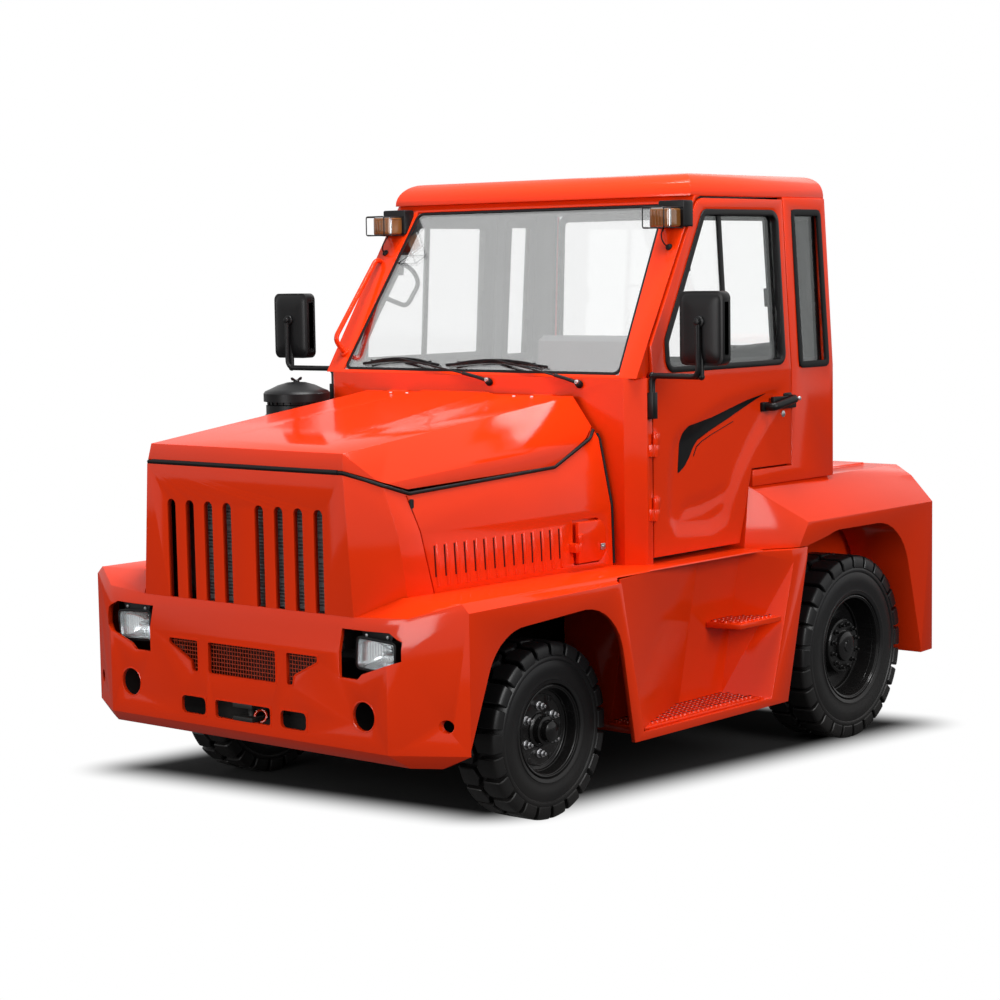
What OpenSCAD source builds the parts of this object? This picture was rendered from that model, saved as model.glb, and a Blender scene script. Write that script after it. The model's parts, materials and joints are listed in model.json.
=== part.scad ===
// Airport tow tractor with a two-seat cab, steered front wheels and a rear tow jaw.
// Millimetres: x forward, y to the left, z up, origin on the ground at the middle.

/* [Overall] */
// Length from the bumper face to the end of the tow jaw
overall_l = 3212; // [3100:4:3320]
// Width over the fenders
overall_w = 1736; // [1700:4:1780]
// Height of the roof crown
roof_z = 2145; // [2100:5:2200]
// Distance between the axles
wheelbase = 1744; // [1720:2:1770]
// Bumper face to front axle
front_overhang = 699; // [680:1:715]
// Rear axle to rear face of the body
rear_overhang = 508; // [495:1:520]

/* [Wheels] */
// Front tyre outer diameter
front_tyre_d = 594; // [570:2:604]
// Front tyre width
front_tyre_w = 176; // [164:1:182]
// Front rim diameter
front_rim_d = 310; // [290:1:330]
// Rear tyre outer diameter
rear_tyre_d = 706; // [680:2:716]
// Rear tyre width
rear_tyre_w = 216; // [200:1:222]
// Rear rim diameter
rear_rim_d = 400; // [380:1:420]
// Fender face to front tyre face
front_tyre_inset = 132; // [124:1:140]
// Fender face to rear tyre face
rear_tyre_inset = 49; // [44:1:60]
// Kingpin inside the front wheel's middle plane
kingpin_offset = 118; // [114:1:124]

/* [Body] */
// Height of the fender ledge
ledge_z = 795; // [785:1:805]
// Bottom edge of the skirt
skirt_z = 228; // [215:1:245]
// Bottom edge of the bumper face
bumper_low_z = 322; // [310:1:335]
// Bumper plate thickness
bumper_t = 12; // [9:0.5:14]
// Half width of the flat bumper face
bumper_flat_y = 646; // [636:1:656]
// Thickness of the engine cover panels
cover_t = 18; // [12:1:22]
// Depth of the side skins
skin_t = 16; // [12:1:20]
// Height of the deck behind the cab
deck_z = 1014; // [1000:1:1024]

/* [Cab] */
// Front axle to the front wall of the cab
cab_setback = 472; // [466:1:484]
// Length of the cab
cab_l = 1244; // [1230:1:1260]
// Half width of the cab at the belt
cab_belt_y = 745; // [735:1:755]
// Half width of the cab at the roof
cab_eave_y = 702; // [694:1:712]
// Height of the belt line
belt_z = 1437; // [1427:1:1447]
// Thickness of the cab walls and doors
wall_t = 40; // [34:1:44]
// Thickness of the window panes
glass_t = 6; // [5:0.5:8]
// Open gap round a moving panel
panel_gap = 7; // [6:0.5:8]

/* [Tow points] */
// Height of the rear tow pin's middle
hitch_z = 420; // [405:1:435]
// Tow pin diameter
hitch_pin_d = 40; // [34:1:44]
// Clear height of the tow jaw
jaw_gap = 90; // [80:1:100]

/* [Hidden] */
overrun = 20;
hinge_out_share = 0.6;
seat_fit = 0.2;
run_fit = 0.05;
steps = 8;
$fn = 48;

// Stations along the tractor
front_x = overall_l / 2;
rear_x = -overall_l / 2;
front_axle_x = front_x - front_overhang;
rear_axle_x = front_axle_x - wheelbase;
body_rear_x = rear_axle_x - rear_overhang;
cab_front_x = front_axle_x - cab_setback;
cab_rear_x = cab_front_x - cab_l;
side_y = overall_w / 2;
// Half widths that follow the overall width are given in parts of it
wide_parts_share = 1736;
wide_share = overall_w / wide_parts_share;
model_w = 1736;
bumper_face_y = bumper_flat_y * overall_w / model_w;
belt_y = cab_belt_y * overall_w / model_w;
eave_y = cab_eave_y * overall_w / model_w;

// Wheels and axles
front_r = front_tyre_d / 2;
rear_r = rear_tyre_d / 2;
front_wheel_y = side_y - front_tyre_inset - front_tyre_w / 2;
rear_wheel_y = side_y - rear_tyre_inset - rear_tyre_w / 2;
kingpin_y = front_wheel_y - kingpin_offset;
shoulder_in = 22;
shoulder_drop = 30;
bead_cut = 18;
tyre_bead_in = 10;
groove_w = 22;
groove_depth = 24;
groove_in = 16;
front_groove_n = 22;
rear_groove_n = 26;
rim_wall = 9;
rim_lip = 12;
disc_t = 14;
front_disc_in = 44;
rear_disc_in = 92;
spindle_d = 52;
spindle_gap = 6;
hub_d = 96;
hub_reach = 34;
rear_hub_d = 208;
rear_hub_reach = 52;
rear_spindle_d = 80;
kingpin_d = 36;
knuckle_d = 64;
knuckle_h = 110;
fork_t = 30;
fork_w = 86;
beam_h = 84;
beam_d = 76;
arm_l = 150;
arm_w = 34;
arm_t = 22;
tube_d = 120;
diff_r = 150;
pad_w = 90;

// Frame
rail_y = 368 * wide_share;
rail_w = 66;
rail_low_z = 425;
rail_h = 150;
cross_w = 70;
lamp_bar_z = 560;
lamp_bar_h = 40;
lamp_bar_y = 640 * wide_share;
lamp_bar_x = front_x - 176;
tow_eye_x = front_x - 46;
tow_eye_w = 90;
tow_eye_t = 14;
tow_eye_z = 386;
tow_eye_gap = 30;
tow_pin_d = 26;

// Engine, shaft and radiator
engine_gap = 42;
engine_w = 2 * (rail_y - rail_w - engine_gap);
engine_low_z = 505;
engine_high_z = 1030;
engine_front_x = front_axle_x + 350;
engine_rear_x = cab_front_x + 120;
gearbox_l = 520;
gearbox_w = 340;
gearbox_high_z = 700;
shaft_d = 80;
radiator_w = 650;
radiator_t = 70;
radiator_low_z = lamp_bar_z + lamp_bar_h;
radiator_high_z = 1120;
radiator_gap = 112;
shroud_y = 525 * wide_share;
shroud_top_z = 1100;
splash_y = 800 * wide_share;
splash_in_y = 345 * wide_share;
splash_low_z = 300;
splash_t = 6;
fin_pitch = 26;
fin_t = 6;
fin_d = 12;

// Bumper
bumper_x = front_x - bumper_t / 4;
bumper_crease_z = 627;
bumper_lip_x = front_x - 98;
bumper_lip_y = 711 * wide_share;
bumper_lip_z = 247;
bumper_side_x = front_x - 140;
bumper_slope_x = front_x - 52;
bumper_slope_y = 694 * wide_share;
bumper_slope_z = 748;
bumper_top_x = front_x - 149;
bumper_top_y = 840 * wide_share;
bumper_side_top_z = ledge_z - 27;
bumper_foot_x = front_x - 28;
bumper_foot_y = 487 * wide_share;
bumper_foot_z = 738;
mesh_y = 161 * wide_share;
mesh_low_z = 497;
mesh_top_z = 608;
side_mesh_in_y = 205 * wide_share;
side_mesh_out_y = 350 * wide_share;
side_mesh_bend_y = 245 * wide_share;
side_mesh_toe_y = 236 * wide_share;
side_mesh_bend_z = 584;
side_mesh_knee_z = 532;
slot_y = 133 * wide_share;
slot_low_z = 353;
slot_top_z = 419;
side_slot_in_y = 172 * wide_share;
side_slot_out_y = 296 * wide_share;
lamp_hole_y = 545 * wide_share;
lamp_hole_z = 433;
lamp_hole_d = 100;
eye_hole_y = 803 * wide_share;
eye_hole_z = 415;
eye_hole_d = 42;
head_in_y = 443 * wide_share;
head_toe_y = 520 * wide_share;
head_bend_y = 540 * wide_share;
head_top_y = 636 * wide_share;
head_out_y = 686 * wide_share;
head_low_z = 547;
head_bend_z = 566;
head_side_low_z = 617;
head_side_top_z = 676;
head_top_z = 701;
mesh_back = 6;
mesh_wire = 5;
mesh_pitch = 22;
mesh_t = 4;
mesh_rim = 14;

// Headlamps
head_lamp_y = 578 * wide_share;
head_lamp_z = 622;
head_lamp_w = 150;
head_lamp_h = 116;
head_lamp_d = 70;
head_lamp_x = front_x - 42;
head_stem_w = 50;
head_lens_t = 10;
head_lens_rim = 8;

// Engine cover: nose, hood and side covers
nose_x = front_x - 24;
nose_low_x = front_x - 27;
nose_low_y = 487 * wide_share;
nose_low_z = bumper_foot_z;
nose_top_y = 456 * wide_share;
nose_top_z = 1183;
lip_x = front_x - 36;
lip_y = 446 * wide_share;
lip_z = 1250;
cheek_low_x = front_x - 161;
cheek_low_y = 605 * wide_share;
cheek_mid_x = front_x - 131;
cheek_mid_y = 588 * wide_share;
cheek_mid_z = 990;
cheek_top_x = front_x - 116;
cheek_top_y = 541 * wide_share;
cheek_top_z = 1150;
ridge_x = front_x - 240;
ridge_y = 462 * wide_share;
ridge_z = 1266;
cover_gap = 24;
cover_rear_x = cab_front_x + cover_gap;
cover_low_y = 655 * wide_share;
cover_crease_y = 646 * wide_share;
cover_crease_z = 1002;
cover_high_y = 596 * wide_share;
cover_high_z = 1232;
hood_rear_y = 486 * wide_share;
hood_rear_z = 1374;
part_front_z = 1183;
part_cheek_z = 1143;
part_corner_x = front_x - 216;
part_corner_z = 1111;
part_bend_x = cover_rear_x + 246;
part_bend_z = 1146;
part_rise_x = cover_rear_x + 50;
part_rise_z = 1226;
part_end_z = 1262;
part_gap_front = 16;
part_gap_side = 9;
seam_top_x = front_x - 201;
seam_low_x = front_x - 271;
seam_gap = 5;
grille_low_z = 719;
grille_top_z = 1069;
grille_w = 40;
grille_pitch = 89;
grille_half_gap = 75;
louver_n = 14;
louver_front_x = front_x - 296;
louver_rear_x = cover_rear_x + 262;
louver_low_z = 815;
louver_top_z = 950;
louver_d = 18;
louver_sink = 3;
flap_front_x = cover_rear_x + 196;
flap_rear_x = cover_rear_x + 44;
flap_low_z = 822;
flap_top_z = 960;
flap_cut = 30;
flap_t = 10;
flap_frame = 12;
flap_pin_d = 14;
flap_pin_l = 60;
flap_out = 4;
flap_axis_x = flap_front_x + panel_gap / 2;
flap_axis_y = cover_low_y + flap_out + flap_pin_d * hinge_out_share;
bulge_front_x = front_x - 156;
bulge_rear_x = cover_rear_x + 66;
bulge_y = 240 * wide_share;
bulge_top_y = 150 * wide_share;
bulge_h = 18;
hood_pin_d = 8;
hood_eye_d = 14;
hood_pin_x = cab_front_x + cover_gap / 2;
hood_pin_z = hood_rear_z - 4;
hood_pin_l = 90;
hood_pin_y = 300 * wide_share;

// Side bodies with the step pockets
arch_front_x = front_axle_x + 566;
arch_front_z = bumper_low_z;
arch_fore_x = front_axle_x + 283;
arch_fore_z = 497;
arch_fore_r = 198;
arch_aft_x = front_axle_x - 20;
arch_aft_z = 504;
arch_aft_r = 206;
arch_rear_x = front_axle_x - 282;
well_rear_x = front_axle_x - 392;
ledge_t = 20;
ledge_edge_y = side_y - 34;
ledge_drop = 28;
ledge_in_y = 560 * wide_share;
box_in_y = 480 * wide_share;
pocket_front_top_x = cab_front_x + 262;
pocket_front_low_x = cab_front_x + 140;
pocket_top_in_y = 768 * wide_share;
pocket_low_in_y = 680 * wide_share;
pocket_low_z = 256;
pocket_top_z = 790;
pocket_seam_x = cab_front_x - 580;
pocket_rear_top_x = cab_front_x - 800;
pocket_rear_low_x = cab_front_x - 637;
tread_z = 548;
tread_t = 20;
tread_front_x = cab_front_x - 420;
tread_lip = 24;
tread_edge_y = side_y - 6;
arch2_front_x = rear_axle_x + 533;
arch2_knee_x = rear_axle_x + 412;
arch2_knee_z = 588;
arch2_fore_x = rear_axle_x + 172;
arch2_fore_z = 586;
arch2_r = 240;
arch2_aft_x = rear_axle_x - 92;
arch2_aft_z = 585;
arch2_rear_x = rear_axle_x - 421;
arch2_rear_z = 300;
box_rear_x = rear_axle_x + 420;

// Rear body and fenders
fender_seam_z = ledge_z - 8;
fender_gap = 3;
rear_tyre_gap = 18;
fender_in_y = side_y - rear_tyre_inset - rear_tyre_w - rear_tyre_gap;
fender_nose_x = cab_front_x - 632;
fender_front_x = cab_front_x - 816;
fender_toe_y = 752 * wide_share;
fender_side_top_z = 874;
fender_side_front_x = cab_front_x - 880;
fender_ridge_y = 772 * wide_share;
fender_ridge_z = 974;
fender_top_y = 704 * wide_share;
fender_rear_low_z = 283;
fender_t = 20;
fender_lean = 56;
tail_y = 610 * wide_share;
tail_low_z = 452;
tail_t = 70;
deck_in = 20;
deck_t = 4;
weight_y = fender_in_y - seat_fit;
weight_front_x = rear_axle_x + 300;
weight_low_z = rail_low_z + rail_h;
tail_lamp_y = 730 * wide_share;
tail_lamp_z = 740;
tail_lamp_w = 120;
tail_lamp_h = 90;
tail_lamp_t = 26;

// Tow jaw
jaw_w = 180;
jaw_reach = 261;
jaw_end_x = min(rear_x, body_rear_x - jaw_reach);
jaw_t = 26;
jaw_plate_t = 30;
jaw_plate_h = 300;
jaw_plate_w = 260;
jaw_pin_in = 72;
jaw_pin_low = 20;
jaw_pin_high = 46;
jaw_grip_d = 76;
jaw_grip_t = 14;
jaw_web_t = 40;

// Cab
glass_parts_share = 708;
glass_share = (roof_z - belt_z) / glass_parts_share;
floor_t = 20;
floor_step_x = fender_nose_x + fender_gap;
jamb_t = 36;
floor_y = belt_y - wall_t - jamb_t - seat_fit;
corner_cut = 58;
cowl_ledge = 50;
screen_low_x = cab_front_x - 22;
screen_top_x = cab_front_x - 390;
screen_low_z = belt_z + 8;
screen_top_z = roof_z - 110 * glass_share;
screen_low_y = 655 * wide_share;
screen_top_y = 590 * wide_share;
screen_rake = atan((screen_low_x - screen_top_x) / (screen_top_z - screen_low_z));
screen_l = sqrt((screen_low_x - screen_top_x) ^ 2 + (screen_top_z - screen_low_z) ^ 2);
screen_lip = 6;
frame_d = 44;
frame_low = 20;
frame_top = 46;
frame_low_y = 738 * wide_share;
frame_top_y = 704 * wide_share;
roof_low_z = roof_z - 82 * glass_share;
roof_front_x = screen_top_x - 30;
roof_round = 76 * glass_share;
roof_back_round = 40 * glass_share;
roof_nose = 40;
roof_lip_drop = 20;
door_front_x = cab_front_x - 92;
door_rear_x = cab_front_x - 952;
door_low_z = ledge_z + 20;
door_knee_z = belt_z + 108 * glass_share;
door_top_z = roof_low_z - 8;
door_top_front_x = screen_top_x - 26;
door_heel_z = deck_z + 66;
door_heel_x = cab_front_x - 692;
door_foot_x = cab_front_x - 612;
door_sill_z = belt_z + 12;
door_win_front_x = door_front_x - 78;
door_win_knee_z = belt_z + 128 * glass_share;
door_win_top_z = door_top_z - 38 * glass_share;
door_win_top_x = door_top_front_x - 26;
door_win_rear_x = door_rear_x + 34;
door_round = 70 * glass_share;
window_round = 46 * glass_share;
door_pin_d = 22;
door_pin_l = 80;
hinge_root = 2;
door_pin_low_z = ledge_z + 150;
door_pin_high_z = belt_z - 270;
cowl_side_x = door_front_x + panel_gap;
cowl_y = belt_y - corner_cut;
door_axis_x = door_front_x + panel_gap / 2;
door_axis_y = belt_y + door_pin_d * hinge_out_share;
door_trim_w = 22;
door_trim_out = 5;
door_trim_bar = 26;
handle_x = door_rear_x + 62;
handle_z = belt_z - 126;
handle_w = 150;
handle_h = 46;
handle_t = 16;
quarter_front_x = door_rear_x - panel_gap;
quarter_win_front_x = quarter_front_x - 52;
quarter_win_rear_x = cab_rear_x + 38;
quarter_win_low_z = belt_z;
quarter_low_z = deck_z;
jamb_in = 40;
jamb_fore = 34;
rear_win_y = 600 * wide_share;
rear_win_top_y = 575 * wide_share;
rear_win_low_z = belt_z - 6;
rear_win_top_z = roof_z - 118 * glass_share;
rear_in_y = belt_y - wall_t;

// Cab inside
dash_rear_x = cab_front_x - 250;
dash_low_z = 1180;
dash_top_z = belt_z - floor_t - 2;
dash_hump_y = 400 * wide_share;
dash_hump_w = 430;
dash_hump_z = belt_z + 140;
hump_front_x = cab_front_x - 158;
hump_top_x = cab_front_x - 190;
hump_back_x = cab_front_x - 213;
dash_hump_rear = 60;
wheel_y = 330 * wide_share;
wheel_x = cab_front_x - 402;
wheel_z = 1450;
wheel_tilt = 32;
wheel_r = 190;
wheel_tube = 13;
wheel_hub_d = 90;
wheel_hub_t = 40;
wheel_spoke_w = 34;
wheel_spoke_t = 14;
column_d = 60;
column_l = 330;
column_gap = 6;
shaft_end_d = 24;
seat_y = 360 * wide_share;
seat_w = 440;
seat_front_x = cab_front_x - 700;
seat_l = 400;
seat_base_h = 90;
seat_base_in = 40;
seat_cushion_t = 100;
seat_back_t = 90;
seat_back_h = 360;
seat_back_lean = 12;
seat_round = 40;

// Mirrors, wipers, rail, work lamps and air cleaner
mirror_x = cab_front_x - 82;
mirror_y = 971 * wide_share;
mirror_w = 176;
mirror_low_z = 1484;
mirror_top_z = 1733;
mirror_t = 46;
mirror_round = 26;
mirror_rim = 10;
mirror_glass_t = 3;
mirror_tube_d = 20;
bend_grow = 4;
mirror_foot_w = 26;
mirror_foot_x = cowl_side_x + mirror_foot_w / 2 + seat_fit;
mirror_foot_z = 1343;
mirror_bend_z = 1446;
mirror_foot_h = 90;
mirror_foot_t = 24;
wiper_blade_share = 0.72;
wiper_r = 15;
wiper_arm_l = 610;
wiper_arm_w = 12;
wiper_arm_t = 10;
wiper_blade_h = 16;
wiper_out = 30;
wiper_out_y = 500 * wide_share;
wiper_in_y = 90 * wide_share;
wiper_z = belt_z - 20;
wiper_rise = 36;
wiper_low = 48;
wiper_lift = 8;
wiper_turn = 4;
rail_tube_d = 24;
rail_foot_share = 0.14;
rail_head_gap = 139;
rail_out = 46;
work_share = 0.92;
work_w = 92;
work_h = 84;
work_d = 62;
work_y = 648 * wide_share;
work_out = 44;
work_stem_d = 18;
cleaner_x = cab_front_x + 120;
cleaner_y = 768 * wide_share;
cleaner_d = 232;
cleaner_low_z = 1086;
cleaner_z = 1330;
cleaner_cap_d = 250;
cleaner_cap_t = 40;
cleaner_dome_h = 34;
cleaner_post_d = 96;
cleaner_knob_d = 26;
cleaner_knob_h = 20;

paint = [0.86, 0.22, 0.09];
black = [0.05, 0.05, 0.055];
dark = [0.12, 0.12, 0.13];
steel = [0.5, 0.5, 0.52];
pane = [0.75, 0.85, 0.85, 0.4];

// Points of an arc about a centre
function arc(c, r, a0, a1) = [for (i = [0:steps])
    c + r * [cos(a0 + (a1 - a0) * i / steps), sin(a0 + (a1 - a0) * i / steps)]];
// Points with their mirror images on the right side
function twin(points) = concat(points, [for (p = points) [p[0], -p[1], p[2]]]);
// Corner b of an outline as an arc
function fillet(a, b, c, r) = let (
    u = (a - b) / norm(a - b), v = (c - b) / norm(c - b), h = acos(u * v) / 2,
    p = b + u * r / tan(h), q = b + v * r / tan(h), o = b + (u + v) / norm(u + v) * r / sin(h))
    [for (i = [0:steps]) let (w = p + (q - p) * i / steps - o) o + w / norm(w) * r];
function rounded(points, r) = let (n = len(points))
    [for (i = [0:n - 1]) each fillet(points[(i + n - 1) % n], points[i], points[(i + 1) % n], r)];
// Outline moved by a step
function moved(points, s) = [for (p = points) p + s];

// Outline in x and z, from y0 to y1
module side_plate(points, y0, y1)
    translate([0, y1, 0]) rotate([90, 0, 0]) linear_extrude(y1 - y0) polygon(points);
// Outline in y and z, from x0 to x1
module face_plate(points, x0, x1)
    translate([x0, 0, 0]) rotate([90, 0, 90]) linear_extrude(x1 - x0) polygon(points);
// Outline in x and y, from z0 to z1
module plan_plate(points, z0, z1)
    translate([0, 0, z0]) linear_extrude(z1 - z0) polygon(points);
module both_sides() {
    children();
    mirror([0, 1, 0]) children();
}
module block(lo, hi) translate(lo) cube(hi - lo);
module hull_of(points) hull() polyhedron(points, [[for (i = [0:len(points) - 1]) i]]);
// Rod between two points
module rod(a, b, d) {
    v = b - a;
    translate(a) rotate([0, acos(v[2] / norm(v)), atan2(v[1], v[0])]) cylinder(d = d, h = norm(v));
}
// Cylinder along y
module drum(at, d, y0, y1)
    translate([at[0], y1, at[1]]) rotate([90, 0, 0]) cylinder(d = d, h = y1 - y0);
// Upright hinge: the moving half with its pin, and the fixed half below it
module hinge_moving(at, z, d, l, x, y) {
    translate([at[0], at[1], z]) cylinder(d = d / 2, h = l);
    translate([at[0], at[1], z + l / 2]) cylinder(d = d, h = l / 2);
    block([x, y, z + l / 2], [at[0], at[1], z + l]);
}
module hinge_fixed(at, z, d, l, x, y) difference() {
    union() {
        translate([at[0], at[1], z]) cylinder(d = d, h = l / 2 - run_fit);
        block([at[0], y, z], [x, at[1], z + l / 2 - run_fit]);
    }
    translate([at[0], at[1], z - overrun]) cylinder(d = d / 2 + 2 * run_fit, h = l + overrun);
}
// Rounded rectangle about its centre
module soft_square(w, h, r) {
    square([w - 2 * r, h], center = true);
    square([w, h - 2 * r], center = true);
    for (i = [-1, 1], j = [-1, 1])
        translate([i * (w / 2 - r), j * (h / 2 - r)]) circle(r);
}
// Cab side wall with its lean above the belt, cut to an outline in x and z
module wall(points, o0, o1) intersection() {
    face_plate([[belt_y + o0, 0], [belt_y + o1, 0], [belt_y + o1, belt_z], [eave_y + o1, roof_z],
        [eave_y + o0, roof_z], [belt_y + o0, belt_z]], cab_rear_x - overrun, cab_front_x + overrun);
    side_plate(points, 0, 2 * side_y);
}
// Window plane: u to the left, v up the glass, depth towards the front
module on_screen() translate([screen_low_x, 0, screen_low_z]) rotate([90 - screen_rake, 0, 90])
    children();
module wheel_at(x, y, r, side) translate([x, y, r]) mirror([0, side < 0 ? 1 : 0, 0])
    rotate([-90, 0, 0]) children();

// Wheels: axis along z here, the outer face at the positive end
module tyre_shape(r, w, rim_d) rotate_extrude() polygon([[rim_d / 2, bead_cut - w / 2],
    [rim_d / 2 + bead_cut, -w / 2], [r - shoulder_drop, -w / 2], [r, shoulder_in - w / 2],
    [r, w / 2 - shoulder_in], [r - shoulder_drop, w / 2], [rim_d / 2 + bead_cut, w / 2],
    [rim_d / 2, w / 2 - bead_cut]]);
module rim_shape(rim_d, w, disc_in, hub, reach, bore) {
    half = w / 2 - tyre_bead_in - seat_fit;
    disc_z = half - disc_in;
    difference() {
        union() {
            rotate_extrude() polygon([[rim_d / 2 - rim_wall, -half], [rim_d / 2, -half],
                [rim_d / 2, half], [rim_d / 2 - rim_lip, half], [rim_d / 2 - rim_wall - rim_lip, disc_z],
                [rim_d / 2 - rim_wall - rim_lip, disc_z - disc_t], [rim_d / 2 - rim_wall, disc_z - 2 * disc_t]]);
            translate([0, 0, disc_z - disc_t]) cylinder(d = rim_d - rim_wall, h = disc_t);
            translate([0, 0, disc_z - disc_t - reach]) cylinder(d = hub, h = 2 * reach + disc_t);
        }
        translate([0, 0, disc_z - disc_t - reach - overrun])
            cylinder(d = bore + 2 * run_fit, h = reach + disc_t + overrun);
    }
}
// Cross grooves, half a step apart on the two shoulders
module grooves(r, w, n) for (i = [0:n - 1], side = [0, 1])
    rotate([180 * side, 0, 360 * (i + side / 2) / n])
        block([r - groove_depth, -groove_w / 2, groove_in], [r + overrun, groove_w / 2, w / 2 + overrun]);
module front_tyre() color(black) difference() {
    tyre_shape(front_r, front_tyre_w, front_rim_d + 2 * seat_fit);
    grooves(front_r, front_tyre_w, front_groove_n);
}
module front_rim() color(dark)
    rim_shape(front_rim_d, front_tyre_w, front_disc_in, hub_d, hub_reach, spindle_d);
module rear_tyre() color(black) difference() {
    tyre_shape(rear_r, rear_tyre_w, rear_rim_d + 2 * seat_fit);
    grooves(rear_r, rear_tyre_w, rear_groove_n);
}
module rear_rim() color(dark)
    rim_shape(rear_rim_d, rear_tyre_w, rear_disc_in, rear_hub_d, rear_hub_reach, rear_spindle_d);

module front_tyre_left() wheel_at(front_axle_x, front_wheel_y, front_r, 1) front_tyre();
module front_wheel_left() wheel_at(front_axle_x, front_wheel_y, front_r, 1) front_rim();
module front_tyre_right() wheel_at(front_axle_x, -front_wheel_y, front_r, -1) front_tyre();
module front_wheel_right() wheel_at(front_axle_x, -front_wheel_y, front_r, -1) front_rim();
module rear_tyre_left() wheel_at(rear_axle_x, rear_wheel_y, rear_r, 1) rear_tyre();
module rear_wheel_left() wheel_at(rear_axle_x, rear_wheel_y, rear_r, 1) rear_rim();
module rear_tyre_right() wheel_at(rear_axle_x, -rear_wheel_y, rear_r, -1) rear_tyre();
module rear_wheel_right() wheel_at(rear_axle_x, -rear_wheel_y, rear_r, -1) rear_rim();

// Steered knuckle with its kingpin, spindle and steering arm
front_hub_end_y = front_wheel_y + front_tyre_w / 2 - tyre_bead_in - seat_fit - front_disc_in;
module knuckle() {
    translate([front_axle_x, kingpin_y, front_r - knuckle_h / 2]) cylinder(d = knuckle_d, h = knuckle_h);
    translate([front_axle_x, kingpin_y, front_r - knuckle_h / 2 - fork_t])
        cylinder(d = kingpin_d, h = knuckle_h + 2 * fork_t);
    drum([front_axle_x, front_r], spindle_d, kingpin_y, front_hub_end_y - run_fit);
    drum([front_axle_x, front_r], hub_d,
        kingpin_y + knuckle_d / 4, front_hub_end_y - disc_t - hub_reach - run_fit);
    block([front_axle_x - arm_l, kingpin_y - arm_w / 2, front_r - arm_t / 2],
        [front_axle_x, kingpin_y + arm_w / 2, front_r + arm_t / 2]);
}
module knuckle_left() color(dark) knuckle();
module knuckle_right() color(dark) mirror([0, 1, 0]) knuckle();

module front_axle() color(dark) {
    fork_low = front_r - knuckle_h / 2 - fork_t;
    fork_high = front_r + knuckle_h / 2;
    neck_y = kingpin_y - fork_w / 2 - knuckle_d / 2;
    difference() {
        union() {
            block([front_axle_x - beam_d / 2, -neck_y, front_r - beam_h / 2],
                [front_axle_x + beam_d / 2, neck_y, front_r + beam_h / 2]);
            both_sides() {
                block([front_axle_x - beam_d / 2, neck_y - fork_t, fork_low],
                    [front_axle_x + beam_d / 2, neck_y, fork_high + fork_t]);
                for (z = [fork_low, fork_high + run_fit])
                    block([front_axle_x - beam_d / 2, neck_y - fork_t, z],
                        [front_axle_x + beam_d / 2, kingpin_y + fork_w / 2, z + fork_t - run_fit]);
            }
            block([front_axle_x - beam_d / 2, -pad_w, front_r],
                [front_axle_x + beam_d / 2, pad_w, rail_low_z]);
        }
        both_sides() translate([front_axle_x, kingpin_y, fork_low - overrun])
            cylinder(d = kingpin_d + 2 * run_fit, h = knuckle_h + 2 * fork_t + 2 * overrun);
    }
}

rear_hub_end_y = rear_wheel_y + rear_tyre_w / 2 - tyre_bead_in - seat_fit - rear_disc_in;
module rear_axle() color(dark) {
    both_sides() {
        drum([rear_axle_x, rear_r], tube_d, 0, rear_hub_end_y - disc_t - rear_hub_reach - spindle_gap);
        drum([rear_axle_x, rear_r], rear_spindle_d, 0, rear_hub_end_y - run_fit);
        block([rear_axle_x - pad_w, rail_y - rail_w, rear_r],
            [rear_axle_x + pad_w, rail_y, rail_low_z]);
    }
    drum([rear_axle_x, rear_r], 2 * diff_r, -diff_r / 2, diff_r / 2);
}

module chassis_frame() color(dark) {
    both_sides() block([body_rear_x + tail_t, rail_y - rail_w, rail_low_z],
        [bumper_x - 2 * bumper_t, rail_y, rail_low_z + rail_h]);
    both_sides() block([bumper_x - 3 * bumper_t, rail_y - rail_w, rail_low_z],
        [bumper_x - bumper_t - seat_fit, rail_y, mesh_low_z - mesh_rim - seat_fit]);
    for (x = [front_axle_x - cross_w / 2, lamp_bar_x - 2 * cross_w])
        block([x, -rail_y + rail_w / 2, rail_low_z], [x + cross_w, rail_y - rail_w / 2, rail_low_z + cross_w]);
    block([rear_axle_x + 4 * cross_w, -rail_y + rail_w / 2, rail_low_z + rail_h - cross_w],
        [rear_axle_x + 5 * cross_w, rail_y - rail_w / 2, rail_low_z + rail_h]);
    both_sides() block([lamp_bar_x - cross_w, rail_y - rail_w / 2, lamp_bar_z],
        [lamp_bar_x, lamp_bar_y, lamp_bar_z + lamp_bar_h]);
    block([lamp_bar_x - cross_w, -rail_y, lamp_bar_z], [lamp_bar_x, rail_y, lamp_bar_z + lamp_bar_h]);
    both_sides() block([well_rear_x - 3 * cross_w, rail_y - rail_w / 2, rail_low_z],
        [well_rear_x - 2 * cross_w, box_in_y, rail_low_z + rail_h]);
    both_sides() block([box_rear_x + cross_w, rail_y - rail_w / 2, rail_low_z],
        [box_rear_x + 2 * cross_w, box_in_y, rail_low_z + rail_h]);
    block([lamp_bar_x - splash_t, -splash_y, splash_low_z], [lamp_bar_x, splash_y, lamp_bar_z]);
    both_sides() block([lamp_bar_x - splash_t, splash_in_y, splash_low_z], [lamp_bar_x, splash_y, bumper_foot_z]);
    for (z = [tow_eye_z - tow_eye_gap / 2 - tow_eye_t, tow_eye_z + tow_eye_gap / 2])
        block([lamp_bar_x - 2 * cross_w, -tow_eye_w / 2, z], [tow_eye_x + tow_eye_w / 2, tow_eye_w / 2, z + tow_eye_t]);
    block([lamp_bar_x - 2 * cross_w, -tow_eye_w / 2, tow_eye_z - tow_eye_gap],
        [lamp_bar_x - cross_w, tow_eye_w / 2, rail_low_z + cross_w]);
    translate([tow_eye_x, 0, tow_eye_z - tow_eye_gap / 2 - tow_eye_t])
        cylinder(d = tow_pin_d, h = tow_eye_gap + 2 * tow_eye_t);
}

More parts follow.
